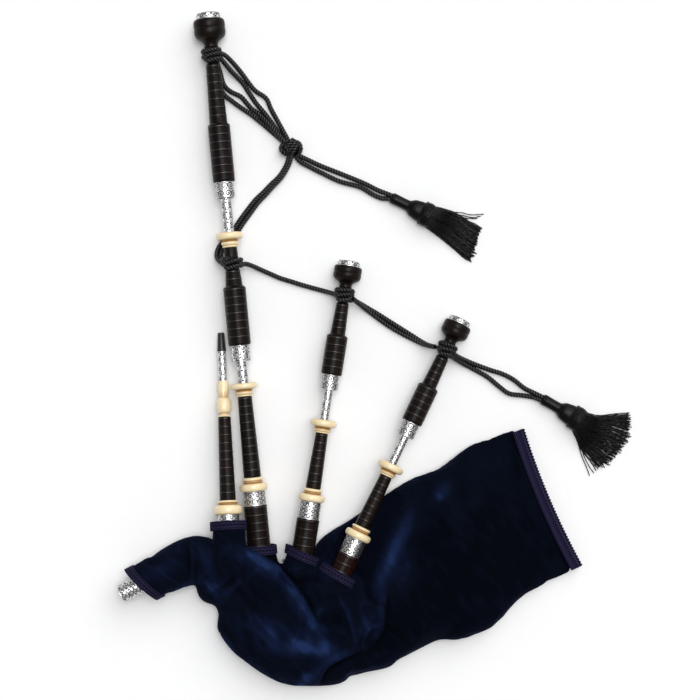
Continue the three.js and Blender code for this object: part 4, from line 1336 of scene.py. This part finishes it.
def painted_light_of(points):
    """Painted light and shade in the velvet's colour at each point, about 0 to 1: lighter beside laps, along ridges and
    crease lines and in patches, darker in valleys, beside laps and in patches.
    """
    painted_light_and_mottle = np.full(len(points), 0.14)
    for kind, height, width, route in FOLDS:
        line = smooth_line([(*point, 0) for point in route], 6)[:, :2]
        gap, side, share = distance_to(line, points[:, :2])
        taper = np.sin(math.pi * np.clip(share, 0.001, 0.999)) ** 0.5 * min(1.0, height / 7)
        # Painted highlight beside each lap's raised side and along ridges. Painted shade on a lap's sunk side and in
        # valleys.
        painted_highlight = 0.32 * np.exp(-((gap - 0.45 * width) / (0.45 * width)) ** 2) + 0.22 * np.exp(-(gap / 1.6) ** 2)
        painted_shade = -0.34 * np.exp(-((gap - 3.0) / 4.0) ** 2)
        if kind == "lap":
            painted_light_and_mottle += taper * np.where(side < 0, painted_highlight, painted_shade)
        elif kind == "ridge":
            painted_light_and_mottle += taper * 0.30 * np.exp(-(gap / width) ** 2)
        else:
            painted_light_and_mottle -= taper * 0.22 * np.exp(-(gap / (0.6 * width)) ** 2)
    # Painted highlight: thin lighter crease lines from ridged noise, fewer on the back panel.
    painted_crease_lines, broken = np.zeros(len(points)), np.ones(len(points))
    for index, (x, y, _) in enumerate(points):
        u, v = 0.64 * x - 0.77 * y, 0.77 * x + 0.64 * y
        drift = noise.noise((x / 60, y / 60, 4.0))
        painted_crease_lines[index] = max(0.0, 1 - 5.5 * abs(noise.noise((u / 46 + drift, v / 19 + drift, 1.5))))
        broken[index] = 0.8 + 0.9 * noise.noise((u / 30 + 2, v / 11, 6.0))
    painted_light_and_mottle += 0.12 * painted_crease_lines * (1 - 0.75 * smoothstep(40, 130, points[:, 0] + 0.3 * (points[:, 1] + 400)))
    # Painted highlight and painted shade patches, broken up by noise.
    for sign, patches in ((1, PAINTED_HIGHLIGHTS), (-1, SHADE)):
        for x, y, long, wide, heading, strength in patches:
            turn = math.radians(heading)
            away = points[:, :2] - np.array([x, y])
            u = away @ np.array([math.cos(turn), math.sin(turn)]) / long
            v = away @ np.array([-math.sin(turn), math.cos(turn)]) / wide
            painted_light_and_mottle += sign * strength * np.exp(-(u * u + v * v)) * broken
    return painted_light_and_mottle


def set_value(piece, name, numbers):
    mesh = piece.data
    attribute = mesh.attributes.get(name) or mesh.attributes.new(name, "FLOAT", "POINT")
    attribute.data.foreach_set("value", np.asarray(numbers, np.float32))


def make_bag():
    parts = [bag_body(), *(collar_sleeve(name) for name in COLLARS)]
    parts = [(points, facing_out(points, faces)) for points, faces in parts]
    points, faces, _ = joined(parts)
    bag = mesh_piece("velvet_cover", points, faces, looks["velvet"])
    remesh = bag.modifiers.new("remesh", "REMESH")
    remesh.mode = "VOXEL"
    remesh.voxel_size = VOXEL
    applied(bag)
    points = smoothed(bag.data, coordinates(bag.data), 10)
    set_coordinates(bag.data, points)
    puffed(bag, 0.006)
    set_coordinates(bag.data, smoothed(bag.data, coordinates(bag.data), 1))
    lining = bag.data.copy()
    subdivide = bag.modifiers.new("fine", "SUBSURF")
    subdivide.levels = 1
    subdivide.render_levels = 1
    applied(bag)
    points = coordinates(bag.data) / MM
    facing = normals(bag.data)[:, 2]
    points[:, 2] += fold_lift(points, facing) + crumple(points, facing)
    points[:, 2] = np.minimum(points[:, 2], under_tenor(points))
    points[:, 2] = np.minimum(points[:, 2], under_braid(points))
    points[:, 2] = np.maximum(points[:, 2], CLEAR)
    set_coordinates(bag.data, points * MM)
    bag.data.materials.clear()
    bag.data.materials.append(looks["velvet"])
    bag.data.shade_smooth()
    # The velvet's painted light and shade, stored as a point attribute.
    set_value(bag, "painted_light_and_mottle", painted_light_of(points))
    stand_for(bag, "bag_cover")
    make_inner_bag(lining, bag)


def make_inner_bag(mesh, cover):
    """The hide bag inside the cover: the cover's first shape, drawn in."""
    inset = 11.0
    piece = bpy.data.objects.new("hide_bag", mesh)
    bpy.context.scene.collection.objects.link(piece)
    points = coordinates(mesh) / MM - inset * normals(mesh)
    points[:, 2] = np.clip(points[:, 2], CLEAR + 4, 40)
    points[:, 2] += 1.6 * np.minimum(0, fold_lift(points, normals(mesh)[:, 2]))
    points = smoothed(mesh, points, 3)
    velvet = BVHTree.FromObject(cover, bpy.context.evaluated_depsgraph_get())
    for index, (x, y, z) in enumerate(points):
        above = velvet.ray_cast(Vector((x * MM, y * MM, 0.2)), Vector((0, 0, -1)))[0]
        points[index, 2] = max(CLEAR + 2, min(z, above.z / MM - 6)) if above else CLEAR + 2
    set_coordinates(mesh, points * MM)
    mesh.materials.clear()
    mesh.materials.append(looks["leather"])
    mesh.shade_smooth()
    stand_for(piece, "inner_bag")


# ---------------------------------------------------------------- braid

BRAID_WIDTH = 14
BRAID_THICK = 1.9
ZIGZAG = 5.4


def braid_relief(around, across, width):
    """How high the braid's threads stand at a place on it, and how much lighter thread shows there."""
    wave = 2 / math.pi * np.arcsin(np.sin(2 * math.pi * around / ZIGZAG))
    first = np.abs(across - 0.30 * width - 1.5 * wave)
    second = np.abs(across - 0.70 * width + 1.5 * wave)
    thread = 1 - smoothstep(0.35, 0.95, np.minimum(first, second))
    edge = 1 - smoothstep(0.5, 1.3, np.minimum(across, width - across))
    ribs = 0.18 * np.cos(2 * math.pi * around / 1.5)
    return 0.55 * thread + 0.45 * edge + ribs, np.clip(0.85 * thread + 0.5 * edge, 0, 1)


def collar_braid(name):
    """The band of braid sewn round a collar's mouth."""
    pipe = pipes[name]
    end, across, up, shift, lift = COLLARS[name][-1]
    sides = 300
    angle = np.arange(sides) * 2 * math.pi / sides
    around = angle * (across + up) / 2
    around = around * round(around[-1] / ZIGZAG) * ZIGZAG / around[-1]
    rows = np.linspace(0, BRAID_WIDTH, 26)
    points, tone = [], []
    for inside, distances in ((False, rows), (True, rows[::-1])):
        for row in distances:
            rise, light = braid_relief(around, np.full(sides, row), BRAID_WIDTH)
            grow = -0.6 if inside else BRAID_THICK + rise * 0.8
            wobble = 0.7 * np.sin(3 * angle + 1.3) + 0.5 * np.sin(5 * angle)
            x = shift + (across + grow + wobble) * np.cos(angle)
            y = lift + (up + grow + wobble) * np.sin(angle)
            station = end + 3 - row + SKEW[name] * x
            points += [pipe.point(s, u, v) for s, u, v in zip(station, x, y)]
            tone.append(light * (0.2 if inside else 1))
    points = np.array(points)
    points[:, 2] = np.maximum(points[:, 2], 0.3)
    faces = [face[::-1] for face in ring_faces(2 * len(rows), sides, closed=True)]
    piece = mesh_piece("braid_" + name, points, facing_out(points, faces), looks["braid"], tone=np.concatenate(tone))
    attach(piece, "root")


BACK_TOP = np.array([272.8, -130.7])
BACK_LOW = np.array([366.5, -350.8])
BACK_BOW = 6.0
BACK_WIDTH = 18
SCALLOP = 5.0


def make_back_braid():
    """The braid that closes the bag's back edge: ribs on its inner half, a scalloped outer edge."""
    run = BACK_LOW - BACK_TOP
    length = float(np.linalg.norm(run))
    heading = run / length
    outward = np.array([-heading[1], heading[0]])
    steps = 420
    t = np.linspace(0, 1, steps)
    middle = BACK_TOP + np.outer(t, run) - np.outer(BACK_BOW * 4 * t * (1 - t), outward)
    around = t * length
    scallop = 2.0 * np.abs(np.sin(math.pi * around / SCALLOP))
    section = np.linspace(-1, 1, 30)
    rows_top, rows_low, tone = [], [], []
    for v in section:
        reach = v * BACK_WIDTH / 2 + (scallop * max(0, v) ** 3)
        ribs = 0.5 * math.cos(2 * math.pi * (v + 1) * 3.4) if v < 0.05 else 0.0
        wave = 2 / math.pi * np.arcsin(np.sin(2 * math.pi * around / ZIGZAG))
        stitch = (1 - smoothstep(0.4, 1.0, np.abs((v - 0.5) * BACK_WIDTH / 2 - 1.4 * wave))) * (v > 0.1)
        thick = 1.2 + 7.5 * math.sqrt(max(0, 1 - ((v + 1) / 2) ** 2))
        hem = SEAM + thick + ribs + 0.5 * stitch + 0.14 * np.cos(2 * math.pi * around / 1.5)
        place = middle + np.outer(reach, outward)
        rows_top.append(np.column_stack([place, hem]))
        rows_low.append(np.column_stack([place, np.full(steps, SEAM - thick)]))
        tone.append(np.clip(0.85 * stitch + (0.7 if ribs > 0.2 else 0.05), 0, 1) * np.ones(steps))
    points = np.vstack(rows_top + rows_low[::-1])
    grid = np.arange(len(points)).reshape(-1, steps)
    count = len(grid)
    faces = []
    for row in range(count):
        here, after = grid[row], grid[(row + 1) % count]
        faces += np.stack([here[:-1], here[1:], after[1:], after[:-1]], 1).tolist()
    faces += [grid[:, 0].tolist()[::-1], grid[:, -1].tolist()]
    tones = np.concatenate([*tone, *tone[::-1]])
    piece = mesh_piece("braid_back", points, facing_out(points, faces), looks["braid"], tone=tones)
    stand_for(piece, "back_trim")


# ---------------------------------------------------------------- everything

looks = {
    "blackwood": blackwood_material(),
    "rosewood": rosewood_material(),
    "nickel": nickel_material(),
    "ivory": ivory_material(),
    "velvet": velvet_material(),
    "braid": braid_material(),
    "cord": cord_material(),
    "satin": satin_material(),
    "leather": leather_material(),
    "cane": cane_material(),
    "plastic": plastic_material(),
}

make_camera()
make_studio()
make_cords()
make_tassels()
make_bag()
for collar in COLLARS:
    collar_braid(collar)
make_back_braid()
for drone in ("bass", "tenor_1", "tenor_2"):
    make_drone(drone)
make_blowpipe()
make_chanter_stock()
